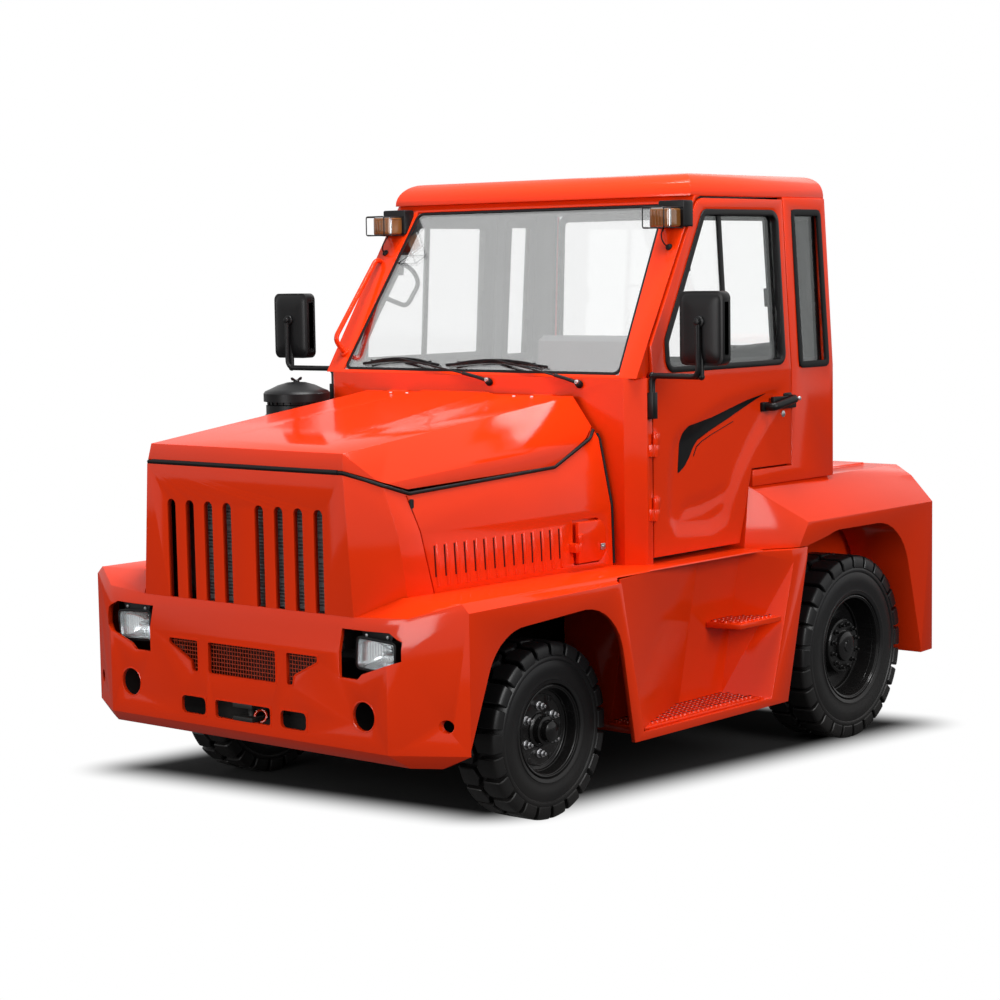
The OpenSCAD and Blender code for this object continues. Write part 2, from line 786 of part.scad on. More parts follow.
module engine_block() color(dark) {
    block([engine_rear_x, -engine_w / 2, engine_low_z], [engine_front_x, engine_w / 2, engine_high_z]);
    block([engine_rear_x - gearbox_l, -gearbox_w / 2, engine_low_z],
        [engine_rear_x, gearbox_w / 2, gearbox_high_z]);
    rod([engine_rear_x - gearbox_l, 0, engine_low_z + shaft_d / 2], [rear_axle_x + diff_r + shaft_d / 4, 0, rear_r], shaft_d);
    both_sides() block([engine_rear_x, engine_w / 2, engine_low_z],
        [engine_rear_x + cross_w, rail_y - rail_w, engine_low_z + cross_w]);
}

module radiator() color(dark) {
    x1 = nose_low_x - radiator_gap;
    block([x1 - radiator_t, -radiator_w / 2, radiator_low_z], [x1 - fin_d, radiator_w / 2, radiator_high_z]);
    block([x1 - radiator_t, -shroud_y, radiator_low_z], [x1 - radiator_t + fin_t, shroud_y, shroud_top_z]);
    for (z = [radiator_low_z:fin_pitch:radiator_high_z - fin_t])
        block([x1 - 2 * fin_d, -radiator_w / 2, z], [x1, radiator_w / 2, z + fin_t]);
}

// Bumper shell of folded plate
bumper_points = [[bumper_lip_x, bumper_lip_y, bumper_lip_z], [bumper_side_x, bumper_lip_y, bumper_lip_z],
    [bumper_x, bumper_face_y, bumper_low_z], [bumper_side_x, side_y, bumper_low_z],
    [bumper_x, bumper_face_y, bumper_crease_z], [bumper_slope_x, bumper_slope_y, bumper_slope_z],
    [bumper_side_x, side_y, bumper_side_top_z], [bumper_side_x, bumper_top_y, ledge_z],
    [bumper_foot_x, bumper_foot_y, bumper_foot_z]];
function bumper_in(p) = [p[0] == bumper_side_x ? p[0] - overrun : p[0] - bumper_t, p[1] - bumper_t,
    p[2] > bumper_crease_z ? p[2] - bumper_t : p[2] == bumper_lip_z ? p[2] - overrun : p[2]];
mesh_outline = [[-mesh_y, mesh_low_z], [mesh_y, mesh_low_z], [mesh_y, mesh_top_z], [-mesh_y, mesh_top_z]];
side_mesh_outline = [[side_mesh_in_y, mesh_low_z], [side_mesh_toe_y, mesh_low_z],
    [side_mesh_bend_y, side_mesh_knee_z], [side_mesh_out_y, side_mesh_bend_z],
    [side_mesh_out_y, mesh_top_z], [side_mesh_in_y, mesh_top_z]];
head_outline = [[head_in_y, head_low_z], [head_toe_y, head_low_z], [head_bend_y, head_bend_z],
    [head_out_y, head_side_low_z], [head_out_y, head_side_top_z], [head_top_y, head_top_z],
    [head_in_y, head_top_z]];
nose_foot = [[cheek_low_x - overrun, cheek_low_y], [cheek_low_x, cheek_low_y], [nose_low_x, nose_low_y],
    [nose_low_x, -nose_low_y], [cheek_low_x, -cheek_low_y], [cheek_low_x - overrun, -cheek_low_y]];
module bumper() color(paint) difference() {
    hull_of(twin(bumper_points));
    hull_of(twin([for (p = bumper_points) bumper_in(p)]));
    face_plate(mesh_outline, bumper_side_x, front_x + overrun);
    both_sides() face_plate(side_mesh_outline, bumper_side_x, front_x + overrun);
    both_sides() face_plate(head_outline, bumper_side_x, front_x + overrun);
    face_plate([[-slot_y, slot_low_z], [slot_y, slot_low_z], [slot_y, slot_top_z], [-slot_y, slot_top_z]],
        bumper_side_x, front_x + overrun);
    both_sides() face_plate([[side_slot_in_y, slot_low_z], [side_slot_out_y, slot_low_z],
        [side_slot_out_y, slot_top_z], [side_slot_in_y, slot_top_z]], bumper_side_x, front_x + overrun);
    both_sides() rod([bumper_side_x, lamp_hole_y, lamp_hole_z], [front_x + overrun, lamp_hole_y, lamp_hole_z],
        lamp_hole_d);
    both_sides() rod([bumper_side_x, eye_hole_y, eye_hole_z], [front_x + overrun, eye_hole_y, eye_hole_z],
        eye_hole_d);
    block([bumper_side_x - overrun, -nose_low_y, bumper_crease_z + overrun],
        [bumper_foot_x - bumper_t, nose_low_y, ledge_z + overrun]);
    plan_plate(moved(nose_foot, [panel_gap, 0]), nose_low_z - seat_fit, ledge_z + overrun);
}

// Wire mesh behind the bumper openings
module mesh_panel(outline, y0, y1, z0, z1) {
    x1 = bumper_x - bumper_t - seat_fit;
    intersection() {
        face_plate(outline, x1 - mesh_t, x1);
        union() {
            for (y = [y0:mesh_pitch:y1])
                block([x1 - mesh_t, y - mesh_wire / 2, z0], [x1, y + mesh_wire / 2, z1]);
            for (z = [z0:mesh_pitch:z1])
                block([x1 - mesh_t, y0, z - mesh_wire / 2], [x1, y1, z + mesh_wire / 2]);
        }
    }
}
module bumper_mesh() color(black) {
    x1 = bumper_x - bumper_t - seat_fit;
    grown = [[-mesh_y - mesh_rim, mesh_low_z - mesh_rim], [mesh_y + mesh_rim, mesh_low_z - mesh_rim],
        [mesh_y + mesh_rim, mesh_top_z + mesh_rim], [-mesh_y - mesh_rim, mesh_top_z + mesh_rim]];
    side_grown = [[side_mesh_in_y - mesh_rim, mesh_low_z - mesh_rim],
        [side_mesh_toe_y + mesh_rim, mesh_low_z - mesh_rim],
        [side_mesh_bend_y + mesh_rim, side_mesh_knee_z - mesh_rim],
        [side_mesh_out_y + mesh_rim, side_mesh_bend_z - mesh_rim],
        [side_mesh_out_y + mesh_rim, mesh_top_z + mesh_rim], [side_mesh_in_y - mesh_rim, mesh_top_z + mesh_rim]];
    mesh_panel(grown, -mesh_y - mesh_rim, mesh_y + mesh_rim, mesh_low_z - mesh_rim, mesh_top_z + mesh_rim);
    difference() {
        face_plate(grown, x1 - mesh_t, x1);
        face_plate(mesh_outline, x1 - mesh_t - overrun, x1 + overrun);
    }
    both_sides() {
        mesh_panel(side_grown, side_mesh_in_y - mesh_rim, side_mesh_out_y + mesh_rim,
            mesh_low_z - mesh_rim, mesh_top_z + mesh_rim);
        difference() {
            face_plate(side_grown, x1 - mesh_t, x1);
            face_plate(side_mesh_outline, x1 - mesh_t - overrun, x1 + overrun);
        }
    }
}

module headlamps() color(steel) both_sides() {
    translate([head_lamp_x - head_lamp_d, head_lamp_y, head_lamp_z]) rotate([90, 0, 90])
        linear_extrude(head_lamp_d) soft_square(head_lamp_w, head_lamp_h, head_lens_rim);
    block([lamp_bar_x, head_lamp_y - head_stem_w / 2, lamp_bar_z],
        [head_lamp_x - head_lamp_d, head_lamp_y + head_stem_w / 2, lamp_bar_z + lamp_bar_h]);
}

// Engine cover as one folded form, then split into its panels
cover_points = [[nose_low_x, nose_low_y, nose_low_z], [nose_x, nose_top_y, nose_top_z],
    [lip_x, lip_y, lip_z], [cheek_low_x, cheek_low_y, nose_low_z], [cheek_mid_x, cheek_mid_y, cheek_mid_z],
    [cheek_top_x, cheek_top_y, cheek_top_z], [ridge_x, ridge_y, ridge_z],
    [cover_rear_x, cover_low_y, nose_low_z], [cover_rear_x, cover_crease_y, cover_crease_z],
    [cover_rear_x, cover_high_y, cover_high_z], [cover_rear_x, hood_rear_y, hood_rear_z]];
function cover_in(p) = [p[0] == cover_rear_x ? p[0] - overrun : p[0] - cover_t, p[1] - cover_t,
    p[2] == nose_low_z ? p[2] - overrun : p[2] - cover_t];
module cover_shell() difference() {
    hull_of(twin(cover_points));
    hull_of(twin([for (p = cover_points) cover_in(p)]));
}
part_line = [[front_x, part_front_z], [nose_x, part_front_z], [cheek_top_x, part_cheek_z],
    [part_corner_x, part_corner_z], [part_bend_x, part_bend_z], [part_rise_x, part_rise_z],
    [cover_rear_x, part_end_z], [cover_rear_x - overrun, part_end_z]];
hood_line = [[front_x, part_front_z + part_gap_front], [nose_x, part_front_z + part_gap_front],
    [cheek_top_x, part_cheek_z + part_gap_front], [part_corner_x, part_corner_z + 2 * part_gap_side],
    [part_bend_x, part_bend_z + part_gap_side], [part_rise_x + part_gap_side, part_rise_z + part_gap_side],
    [cover_rear_x, part_end_z + part_gap_side], [cover_rear_x - overrun, part_end_z + part_gap_side]];
module wide_plate(points) side_plate(points, -side_y, side_y);
function hood_z(x) = lip_z + (hood_rear_z - lip_z) * (lip_x - x) / (lip_x - cover_rear_x);
module hood() color(paint) {
    hull_of(twin([[bulge_front_x, bulge_y, hood_z(bulge_front_x)],
        [bulge_front_x, bulge_y, hood_z(bulge_front_x) - cover_t / 2],
        [bulge_rear_x, bulge_y, hood_z(bulge_rear_x)], [bulge_rear_x, bulge_y, hood_z(bulge_rear_x) - cover_t / 2],
        [bulge_rear_x, bulge_top_y, hood_z(bulge_rear_x) + bulge_h]]));
    intersection() {
        cover_shell();
        wide_plate(concat(hood_line, [[cover_rear_x - overrun, roof_z], [front_x, roof_z]]));
    }
    both_sides() {
        drum([hood_pin_x, hood_pin_z], hood_pin_d, hood_pin_y, hood_pin_y + hood_pin_l);
        drum([hood_pin_x, hood_pin_z], hood_eye_d, hood_pin_y, hood_pin_y + hood_pin_l / 2);
        block([hood_pin_x, hood_pin_y, hood_pin_z - hood_eye_d / 2],
            [cover_rear_x + cover_t, hood_pin_y + hood_pin_l / 2, hood_pin_z]);
    }
}
nose_region = concat([for (i = [0:3]) part_line[i]],
    [[seam_top_x, part_corner_z], [seam_low_x, ledge_z], [cheek_low_x, ledge_z],
    [nose_low_x - bumper_t, nose_low_z], [front_x, nose_low_z]]);
module nose_panel() color(paint) difference() {
    intersection() {
        cover_shell();
        wide_plate(nose_region);
    }
    both_sides() for (i = [0:3]) translate([cheek_mid_x, grille_half_gap + i * grille_pitch, 0])
        rotate([90, 0, 90]) linear_extrude(front_x) {
            translate([-grille_w / 2, grille_low_z + grille_w / 2])
                square([grille_w, grille_top_z - grille_low_z - grille_w]);
            for (z = [grille_low_z + grille_w / 2, grille_top_z - grille_w / 2])
                translate([0, z]) circle(d = grille_w);
        }
}
flap_outline = [[flap_front_x, flap_low_z], [flap_front_x, flap_top_z],
    [flap_rear_x + flap_cut, flap_top_z], [flap_rear_x, flap_top_z - flap_cut],
    [flap_rear_x, flap_low_z + flap_cut], [flap_rear_x + flap_cut, flap_low_z]];
flap_hole = [[flap_front_x + panel_gap, flap_low_z - panel_gap], [flap_front_x + panel_gap, flap_top_z + panel_gap],
    [flap_rear_x + flap_cut, flap_top_z + panel_gap], [flap_rear_x - panel_gap, flap_top_z - flap_cut],
    [flap_rear_x - panel_gap, flap_low_z + flap_cut], [flap_rear_x + flap_cut, flap_low_z - panel_gap]];
cover_region = concat([for (i = [3:7]) part_line[i]], [[cover_rear_x - overrun, ledge_z],
    [seam_low_x - seam_gap, ledge_z], [seam_top_x - seam_gap, part_corner_z]]);
// Side of the cover below its crease
function cover_y(x, z) = let (
    k = (x - cover_rear_x) / (cheek_low_x - cover_rear_x),
    low = cover_low_y + (cheek_low_y - cover_low_y) * k,
    mid = cover_crease_y + (cheek_mid_y - cover_crease_y) * k)
    low + (mid - low) * (z - nose_low_z) / (cover_crease_z - nose_low_z);
module louvers() both_sides() for (i = [0:louver_n - 1]) {
    x = louver_front_x + (louver_rear_x - louver_front_x) * i / (louver_n - 1);
    rod([x, cover_y(x, louver_low_z) - louver_sink, louver_low_z], [x, cover_y(x, louver_top_z) - louver_sink, louver_top_z],
        louver_d);
}
module side_covers() color(paint) {
    cover_panels();
    louvers();
    hinge_fixed([flap_axis_x, flap_axis_y], (flap_low_z + flap_top_z - flap_pin_l) / 2, flap_pin_d, flap_pin_l,
        flap_front_x + panel_gap + overrun, cover_low_y - cover_t);
}
module cover_panels() difference() {
    intersection() {
        cover_shell();
        wide_plate(cover_region);
        both_sides() block([cover_rear_x - overrun, cheek_top_y / 2, 0], [front_x, side_y, roof_z]);
    }
    side_plate(flap_hole, cheek_low_y - 2 * cover_t, side_y);
}
module fuel_flap() color(paint) {
    side_plate(flap_outline, cover_low_y - flap_t, cover_low_y + flap_out);
    hinge_moving([flap_axis_x, flap_axis_y], (flap_low_z + flap_top_z - flap_pin_l) / 2, flap_pin_d, flap_pin_l,
        flap_front_x - overrun, cover_low_y);
}

// Side bodies: fender ledge, outer skin with both arches and the box with the step pocket
front_arch = concat([[arch_front_x, 0], [arch_front_x, arch_front_z]],
    arc([arch_fore_x, arch_fore_z], arch_fore_r, 25, 90), arc([arch_aft_x, arch_aft_z], arch_aft_r, 90, 172),
    [[arch_rear_x, skirt_z], [arch_rear_x, 0]]);
rear_arch = concat([[arch2_front_x, 0], [arch2_front_x, skirt_z], [arch2_knee_x, arch2_knee_z]],
    [for (p = arc([arch2_fore_x, arch2_fore_z], arch2_r, 40, 90)) p],
    arc([arch2_aft_x, arch2_aft_z], arch2_r, 90, 165), [[arch2_rear_x, arch2_rear_z], [arch2_rear_x, 0]]);
pocket = [[pocket_front_top_x, side_y + overrun, pocket_top_z], [pocket_front_low_x, side_y + overrun, pocket_low_z],
    [pocket_front_top_x, side_y - skin_t, pocket_top_z], [pocket_front_low_x, side_y - skin_t, pocket_low_z],
    [pocket_front_low_x, pocket_top_in_y, pocket_top_z], [pocket_front_low_x, pocket_low_in_y, pocket_low_z],
    [pocket_seam_x, pocket_top_in_y, pocket_top_z], [pocket_seam_x, pocket_low_in_y, pocket_low_z],
    [pocket_rear_top_x, side_y + overrun, pocket_top_z], [pocket_rear_low_x, side_y + overrun, pocket_low_z]];
side_bound = [[bumper_side_x - seat_fit, 0], [bumper_side_x - seat_fit, bumper_side_top_z],
    [bumper_side_x - seat_fit - ledge_drop, ledge_z - 2 * seat_fit],
    [box_rear_x, fender_seam_z - fender_gap], [arch2_front_x - wheelbase, fender_seam_z - fender_gap],
    [arch2_front_x - wheelbase, 0]];
module side_bodies() color(paint) both_sides() difference() {
    union() {
        intersection() {
            side_plate([[bumper_side_x - seat_fit, skirt_z], [bumper_side_x - seat_fit, bumper_side_top_z],
                [fender_nose_x, fender_seam_z - fender_gap], [box_rear_x - ledge_drop, fender_seam_z - fender_gap],
                [arch2_front_x, skirt_z]], side_y - skin_t, side_y);
            wide_plate(concat([[front_x, 0], [front_x, ledge_z]], [[fender_nose_x, ledge_z],
                [fender_nose_x, fender_seam_z - fender_gap], [box_rear_x - overrun, fender_seam_z - fender_gap],
                [box_rear_x - overrun, 0]]));
        }
        face_plate([[ledge_in_y, ledge_z - ledge_t], [side_y - skin_t, bumper_side_top_z - ledge_t],
            [side_y, bumper_side_top_z - ledge_t], [side_y, bumper_side_top_z], [ledge_edge_y, ledge_z],
            [ledge_in_y, ledge_z]], well_rear_x - overrun, bumper_side_x - seat_fit);
        face_plate([[box_in_y, skirt_z], [side_y - skin_t / 2, skirt_z], [side_y - skin_t / 2, bumper_side_top_z - ledge_t],
            [ledge_edge_y, ledge_z], [box_in_y, ledge_z]], floor_step_x, well_rear_x);
        side_plate([[floor_step_x, skirt_z], [floor_step_x, fender_seam_z - fender_gap],
            [box_rear_x, fender_seam_z - fender_gap], [arch2_knee_x + skin_t, arch2_knee_z],
            [arch2_front_x + skin_t, skirt_z]], box_in_y, side_y - skin_t / 2);
    }
    hull_of(pocket);
    block([cheek_low_x - seat_fit, 0, 0], [front_x, cheek_low_y + seat_fit, ledge_z + overrun]);
    side_plate(front_arch, side_y - 2 * skin_t, side_y + overrun);
    side_plate(rear_arch, side_y - 2 * skin_t, side_y + overrun);
}

module step_treads() color(paint) both_sides() {
    share = (tread_z - pocket_low_z) / (pocket_top_z - pocket_low_z);
    in_y = pocket_low_in_y + (pocket_top_in_y - pocket_low_in_y) * share;
    rear_out_x = pocket_rear_low_x + (pocket_rear_top_x - pocket_rear_low_x) * share;
    plan_plate([[tread_front_x, in_y], [tread_front_x - tread_lip, tread_edge_y],
        [rear_out_x + tread_t, tread_edge_y], [pocket_seam_x, in_y]], tread_z - tread_t, tread_z);
    plan_plate([[pocket_front_low_x - tread_lip, pocket_low_in_y + tread_t / 4],
        [pocket_front_low_x - tread_lip, side_y - skin_t],
        [pocket_rear_low_x + 2 * tread_lip, side_y - skin_t], [pocket_seam_x + tread_t, pocket_low_in_y + tread_t / 4]],
        pocket_low_z, pocket_low_z + tread_t / 2);
}

// Rear fenders over the drive wheels, the tail and its weight
fender_points = [[fender_nose_x, fender_toe_y, fender_seam_z], [fender_nose_x, fender_in_y, fender_seam_z],
    [fender_front_x, side_y, fender_seam_z], [fender_nose_x - fender_lean, fender_toe_y - fender_t, deck_z],
    [fender_nose_x - fender_lean, fender_in_y, deck_z], [fender_side_front_x, side_y, fender_side_top_z],
    [rear_axle_x, fender_ridge_y, fender_ridge_z], [body_rear_x, fender_ridge_y, fender_ridge_z],
    [body_rear_x, side_y, fender_side_top_z], [body_rear_x, side_y, fender_seam_z],
    [body_rear_x, fender_in_y, fender_seam_z], [body_rear_x, fender_in_y, deck_z],
    [body_rear_x, fender_top_y, deck_z]];
module rear_fenders() color(paint) both_sides() difference() {
    union() {
        hull_of(fender_points);
        side_plate([[body_rear_x, fender_rear_low_z], [arch2_rear_x, arch2_rear_z - ledge_t],
            [arch2_aft_x, fender_seam_z], [body_rear_x, fender_seam_z]], tail_y, side_y);
        side_plate([[box_rear_x - 2 * overrun, fender_seam_z], [arch2_knee_x, arch2_knee_z],
            [body_rear_x, arch2_knee_z], [body_rear_x, fender_seam_z + ledge_t]], side_y - skin_t, side_y);
    }
    side_plate(rear_arch, fender_in_y - overrun, side_y + overrun);
    side_plate([[arch2_front_x, 0], [box_rear_x - fender_gap, fender_seam_z - fender_gap],
        [arch2_fore_x, arch2_fore_z + arch2_r], [arch2_fore_x, 0]], fender_in_y - overrun, side_y + overrun);
    block([body_rear_x - overrun, tail_lamp_y - tail_lamp_w / 2 - seat_fit, tail_lamp_z - tail_lamp_h / 2 - seat_fit],
        [body_rear_x + tail_lamp_t, tail_lamp_y + tail_lamp_w / 2 + seat_fit, tail_lamp_z + tail_lamp_h / 2 + seat_fit]);
}
module rear_body() color(paint) {
    block([body_rear_x, -weight_y, weight_low_z], [weight_front_x, weight_y, deck_z]);
    block([body_rear_x, -weight_y, tail_low_z], [body_rear_x + tail_t, weight_y, deck_z]);
    block([body_rear_x + deck_in, deck_in - weight_y, deck_z], [cab_rear_x - deck_in, weight_y - deck_in, deck_z + deck_t]);
}
module tail_lamps() color([0.6, 0.05, 0.05]) both_sides()
    block([body_rear_x - tail_lamp_t / 4, tail_lamp_y - tail_lamp_w / 2, tail_lamp_z - tail_lamp_h / 2],
        [body_rear_x + tail_lamp_t, tail_lamp_y + tail_lamp_w / 2, tail_lamp_z + tail_lamp_h / 2]);

module tow_jaw() color(dark) difference() {
    union() {
        block([body_rear_x - jaw_plate_t, -jaw_plate_w / 2, hitch_z - jaw_plate_h / 2],
            [body_rear_x, jaw_plate_w / 2, hitch_z + jaw_plate_h / 2]);
        for (z = [hitch_z - jaw_gap / 2 - jaw_t, hitch_z + jaw_gap / 2]) translate([0, 0, z]) {
            block([jaw_end_x + jaw_w / 2, -jaw_w / 2, 0], [body_rear_x, jaw_w / 2, jaw_t]);
            translate([jaw_end_x + jaw_w / 2, 0, 0]) cylinder(d = jaw_w, h = jaw_t);
        }
        block([body_rear_x - jaw_plate_t - jaw_web_t, -jaw_w / 2, hitch_z - jaw_gap / 2 - jaw_t],
            [body_rear_x, jaw_w / 2, hitch_z + jaw_gap / 2 + jaw_t]);
    }
    translate([jaw_end_x + jaw_pin_in, 0, hitch_z - jaw_gap]) cylinder(d = hitch_pin_d + 2 * run_fit, h = 2 * jaw_gap);
}
module tow_pin() color(steel) translate([jaw_end_x + jaw_pin_in, 0, 0]) {
    low = hitch_z - jaw_gap / 2 - jaw_t - jaw_pin_low;
    high = hitch_z + jaw_gap / 2 + jaw_t;
    translate([0, 0, low]) cylinder(d = hitch_pin_d, h = high + jaw_pin_high - low);
    translate([0, 0, high + run_fit]) cylinder(d = jaw_grip_d, h = jaw_grip_t);
}

// Cab shell
module cab_floor() color(dark) side_plate([[cab_front_x - wall_t, ledge_z],
    [cab_front_x - wall_t, ledge_z + floor_t], [floor_step_x + floor_t, ledge_z + floor_t],
    [floor_step_x + floor_t, deck_z + floor_t], [cab_rear_x + wall_t, deck_z + floor_t],
    [cab_rear_x + wall_t, deck_z], [floor_step_x, deck_z], [floor_step_x, ledge_z]], -floor_y, floor_y);
module cab_cowl() color(paint) {
    front_wall = [[cab_front_x, -cowl_y], [cab_front_x, cowl_y], [cowl_side_x + corner_cut / 2, belt_y],
        [cowl_side_x, belt_y], [cowl_side_x, rear_in_y - seat_fit], [cowl_side_x - jamb_fore, rear_in_y - seat_fit],
        [cowl_side_x - jamb_fore, rear_in_y - jamb_t], [cab_front_x - wall_t, rear_in_y - jamb_t]];
    plan_plate(concat(front_wall, [for (i = [len(front_wall) - 1:-1:2]) [front_wall[i][0], -front_wall[i][1]]]),
        ledge_z, belt_z - seat_fit);
    block([cab_front_x - 2 * cowl_ledge, -rear_in_y + jamb_t, belt_z - floor_t],
        [cab_front_x - floor_t, rear_in_y - jamb_t, belt_z - seat_fit]);
    both_sides() difference() {
        union() {
            y0 = hood_pin_y + hood_pin_l / 2 + run_fit;
            drum([hood_pin_x, hood_pin_z], hood_eye_d, y0, hood_pin_y + hood_pin_l);
            block([cab_front_x - floor_t, y0, hood_pin_z - hood_eye_d / 2],
                [hood_pin_x, hood_pin_y + hood_pin_l, hood_pin_z + hood_eye_d / 2]);
        }
        drum([hood_pin_x, hood_pin_z], hood_pin_d + 2 * run_fit, hood_pin_y, hood_pin_y + hood_pin_l + overrun);
    }
    both_sides() for (z = [door_pin_low_z, door_pin_high_z]) hinge_fixed([door_axis_x, door_axis_y], z, door_pin_d,
        door_pin_l, cowl_side_x + overrun, belt_y - hinge_root);
}
screen_outline = [[-screen_low_y, 0], [screen_low_y, 0], [screen_top_y, screen_l], [-screen_top_y, screen_l]];
module screen_frame() color(paint) intersection() {
    on_screen() translate([0, 0, -frame_d]) linear_extrude(frame_d + screen_lip) difference() {
        polygon([[-frame_low_y, -2 * frame_top], [frame_low_y, -2 * frame_top],
            [frame_top_y, screen_l + frame_top], [-frame_top_y, screen_l + frame_top]]);
        polygon([[-screen_low_y - seat_fit, -seat_fit], [screen_low_y + seat_fit, -seat_fit],
            [screen_top_y + seat_fit, screen_l + seat_fit], [-screen_top_y - seat_fit, screen_l + seat_fit]]);
    }
    difference() {
        block([cab_rear_x, -side_y, belt_z], [cab_front_x, side_y, roof_low_z - seat_fit]);
        both_sides() wall(moved(door_outline, [panel_gap, panel_gap]), -wall_t - panel_gap, side_y);
        both_sides() wall(moved(door_outline, [panel_gap, 0]), -wall_t - panel_gap, side_y);
    }
}
module cab_roof() color(paint) intersection() {
    side_plate(concat([[cab_rear_x, roof_low_z]], [[cab_rear_x, roof_z - roof_back_round]],
        arc([cab_rear_x + roof_back_round, roof_z - roof_back_round], roof_back_round, 180, 90),
        arc([roof_front_x + roof_nose + roof_low_z - roof_z, roof_low_z], roof_z - roof_low_z, 90, 0)), -belt_y, belt_y);
    translate([cab_rear_x - overrun, 0, roof_low_z - overrun]) rotate([90, 0, 90]) linear_extrude(cab_l + overrun)
        soft_square(2 * eave_y, 2 * (roof_z - roof_low_z + overrun), roof_round);
    block([cab_rear_x - overrun, -belt_y, roof_low_z], [cab_front_x, belt_y, roof_z]);
}
door_outline = [[door_foot_x, door_low_z], [door_heel_x, door_heel_z], [door_rear_x, door_heel_z],
    [door_rear_x, door_top_z], each fillet([door_rear_x, door_top_z], [door_top_front_x, door_top_z],
        [door_front_x, door_knee_z], door_round), [door_front_x, door_knee_z], [door_front_x, door_low_z]];
door_window = [[door_win_rear_x, door_sill_z], [door_win_rear_x, door_win_top_z],
    [door_win_top_x, door_win_top_z], [door_win_front_x, door_win_knee_z], [door_win_front_x, door_sill_z]];
module door_shell() difference() {
    union() {
        wall(door_outline, -wall_t, 0);
        for (z = [door_pin_low_z, door_pin_high_z])
            hinge_moving([door_axis_x, door_axis_y], z, door_pin_d, door_pin_l,
                door_front_x - overrun, belt_y - hinge_root);
    }
    side_plate(rounded(door_window, window_round), 0, side_y);
}
function inside(points, d) = [[points[0][0] + d, points[0][1] + d], [points[1][0] + d, points[1][1] - d],
    [points[2][0] - d / 2, points[2][1] - d], [points[3][0] - d, points[3][1] - d / 2],
    [points[4][0] - d, points[4][1] + d]];
door_bar_x = (door_win_rear_x + door_win_front_x) / 2 - door_trim_bar;
module door_trim() {
    difference() {
        wall(rounded(inside(door_window, seat_fit), window_round), -wall_t / 2, door_trim_out);
        side_plate(rounded(inside(door_window, door_trim_w), window_round / 2), 0, side_y);
    }
    wall([[door_bar_x, door_sill_z + door_trim_w / 2], [door_bar_x + door_trim_bar, door_sill_z + door_trim_w / 2],
        [door_bar_x + door_trim_bar, door_win_top_z - door_trim_w / 2], [door_bar_x, door_win_top_z - door_trim_w / 2]],
        -wall_t / 2, -wall_t / 4);
    block([handle_x - handle_w / 2, belt_y, handle_z - handle_h / 2], [handle_x + handle_w / 2, belt_y + handle_t,
        handle_z + handle_h / 2]);
}
module door_glass() difference() {
    wall(rounded(inside(door_window, door_trim_w + seat_fit), window_round / 2), -wall_t / 2, -wall_t / 2 + glass_t);
    block([door_bar_x - seat_fit, 0, 0], [door_bar_x + door_trim_bar + seat_fit, side_y, roof_z]);
}
module door_left() color(paint) door_shell();
module door_right() color(paint) mirror([0, 1, 0]) door_shell();
module door_trim_left() color(black) door_trim();
module door_trim_right() color(black) mirror([0, 1, 0]) door_trim();
module door_glass_left() color(pane) door_glass();
module door_glass_right() color(pane) mirror([0, 1, 0]) door_glass();

quarter_window = [[quarter_win_rear_x, quarter_win_low_z], [quarter_win_rear_x, door_win_top_z],
    [quarter_win_front_x, door_win_top_z], [quarter_win_front_x, quarter_win_low_z]];
module cab_quarters() color(paint) both_sides() {
    difference() {
        wall([[cab_rear_x, quarter_low_z], [cab_rear_x, roof_low_z - seat_fit], [quarter_front_x, roof_low_z - seat_fit],
            [quarter_front_x, quarter_low_z]], -wall_t, 0);
        side_plate(quarter_window, 0, side_y);
    }
    wall([[quarter_front_x - jamb_in, quarter_low_z], [quarter_front_x - jamb_in, door_heel_z - panel_gap],
        [door_heel_x - panel_gap, door_heel_z - panel_gap], [door_heel_x - panel_gap, quarter_low_z]], -wall_t, 0);
    block([quarter_front_x - jamb_in, rear_in_y - jamb_t, quarter_low_z],
        [quarter_front_x + jamb_fore, rear_in_y - panel_gap, belt_z]);
    block([quarter_front_x - jamb_in, rear_in_y - jamb_t, quarter_low_z],
        [quarter_front_x, rear_in_y, belt_z]);
}
rear_window = [[-rear_win_y, rear_win_low_z], [rear_win_y, rear_win_low_z],
    [rear_win_top_y, rear_win_top_z], [-rear_win_top_y, rear_win_top_z]];
back_top_y = rear_in_y - (roof_low_z - belt_z) * (belt_y - eave_y) / (roof_z - belt_z);
module cab_back() color(paint) difference() {
    face_plate([[-rear_in_y + seat_fit, deck_z], [rear_in_y - seat_fit, deck_z], [rear_in_y - seat_fit, belt_z],
        [back_top_y - seat_fit, roof_low_z - seat_fit], [-back_top_y + seat_fit, roof_low_z - seat_fit],
        [-rear_in_y + seat_fit, belt_z]], cab_rear_x, cab_rear_x + wall_t);
    face_plate(rear_window, cab_rear_x - overrun, cab_rear_x + wall_t + overrun);
}
module cab_glass() color(pane) {
    on_screen() translate([0, 0, -glass_t]) linear_extrude(glass_t) polygon(screen_outline);
    face_plate([[-rear_win_y + seat_fit, rear_win_low_z + seat_fit], [rear_win_y - seat_fit, rear_win_low_z + seat_fit],
        [rear_win_top_y - seat_fit, rear_win_top_z - seat_fit], [-rear_win_top_y + seat_fit, rear_win_top_z - seat_fit]],
        cab_rear_x + wall_t / 2, cab_rear_x + wall_t / 2 + glass_t);
    both_sides() wall([[quarter_win_rear_x + seat_fit, quarter_win_low_z + seat_fit],
        [quarter_win_rear_x + seat_fit, door_win_top_z - seat_fit],
        [quarter_win_front_x - seat_fit, door_win_top_z - seat_fit],
        [quarter_win_front_x - seat_fit, quarter_win_low_z + seat_fit]], -wall_t / 2, -wall_t / 2 + glass_t);
}

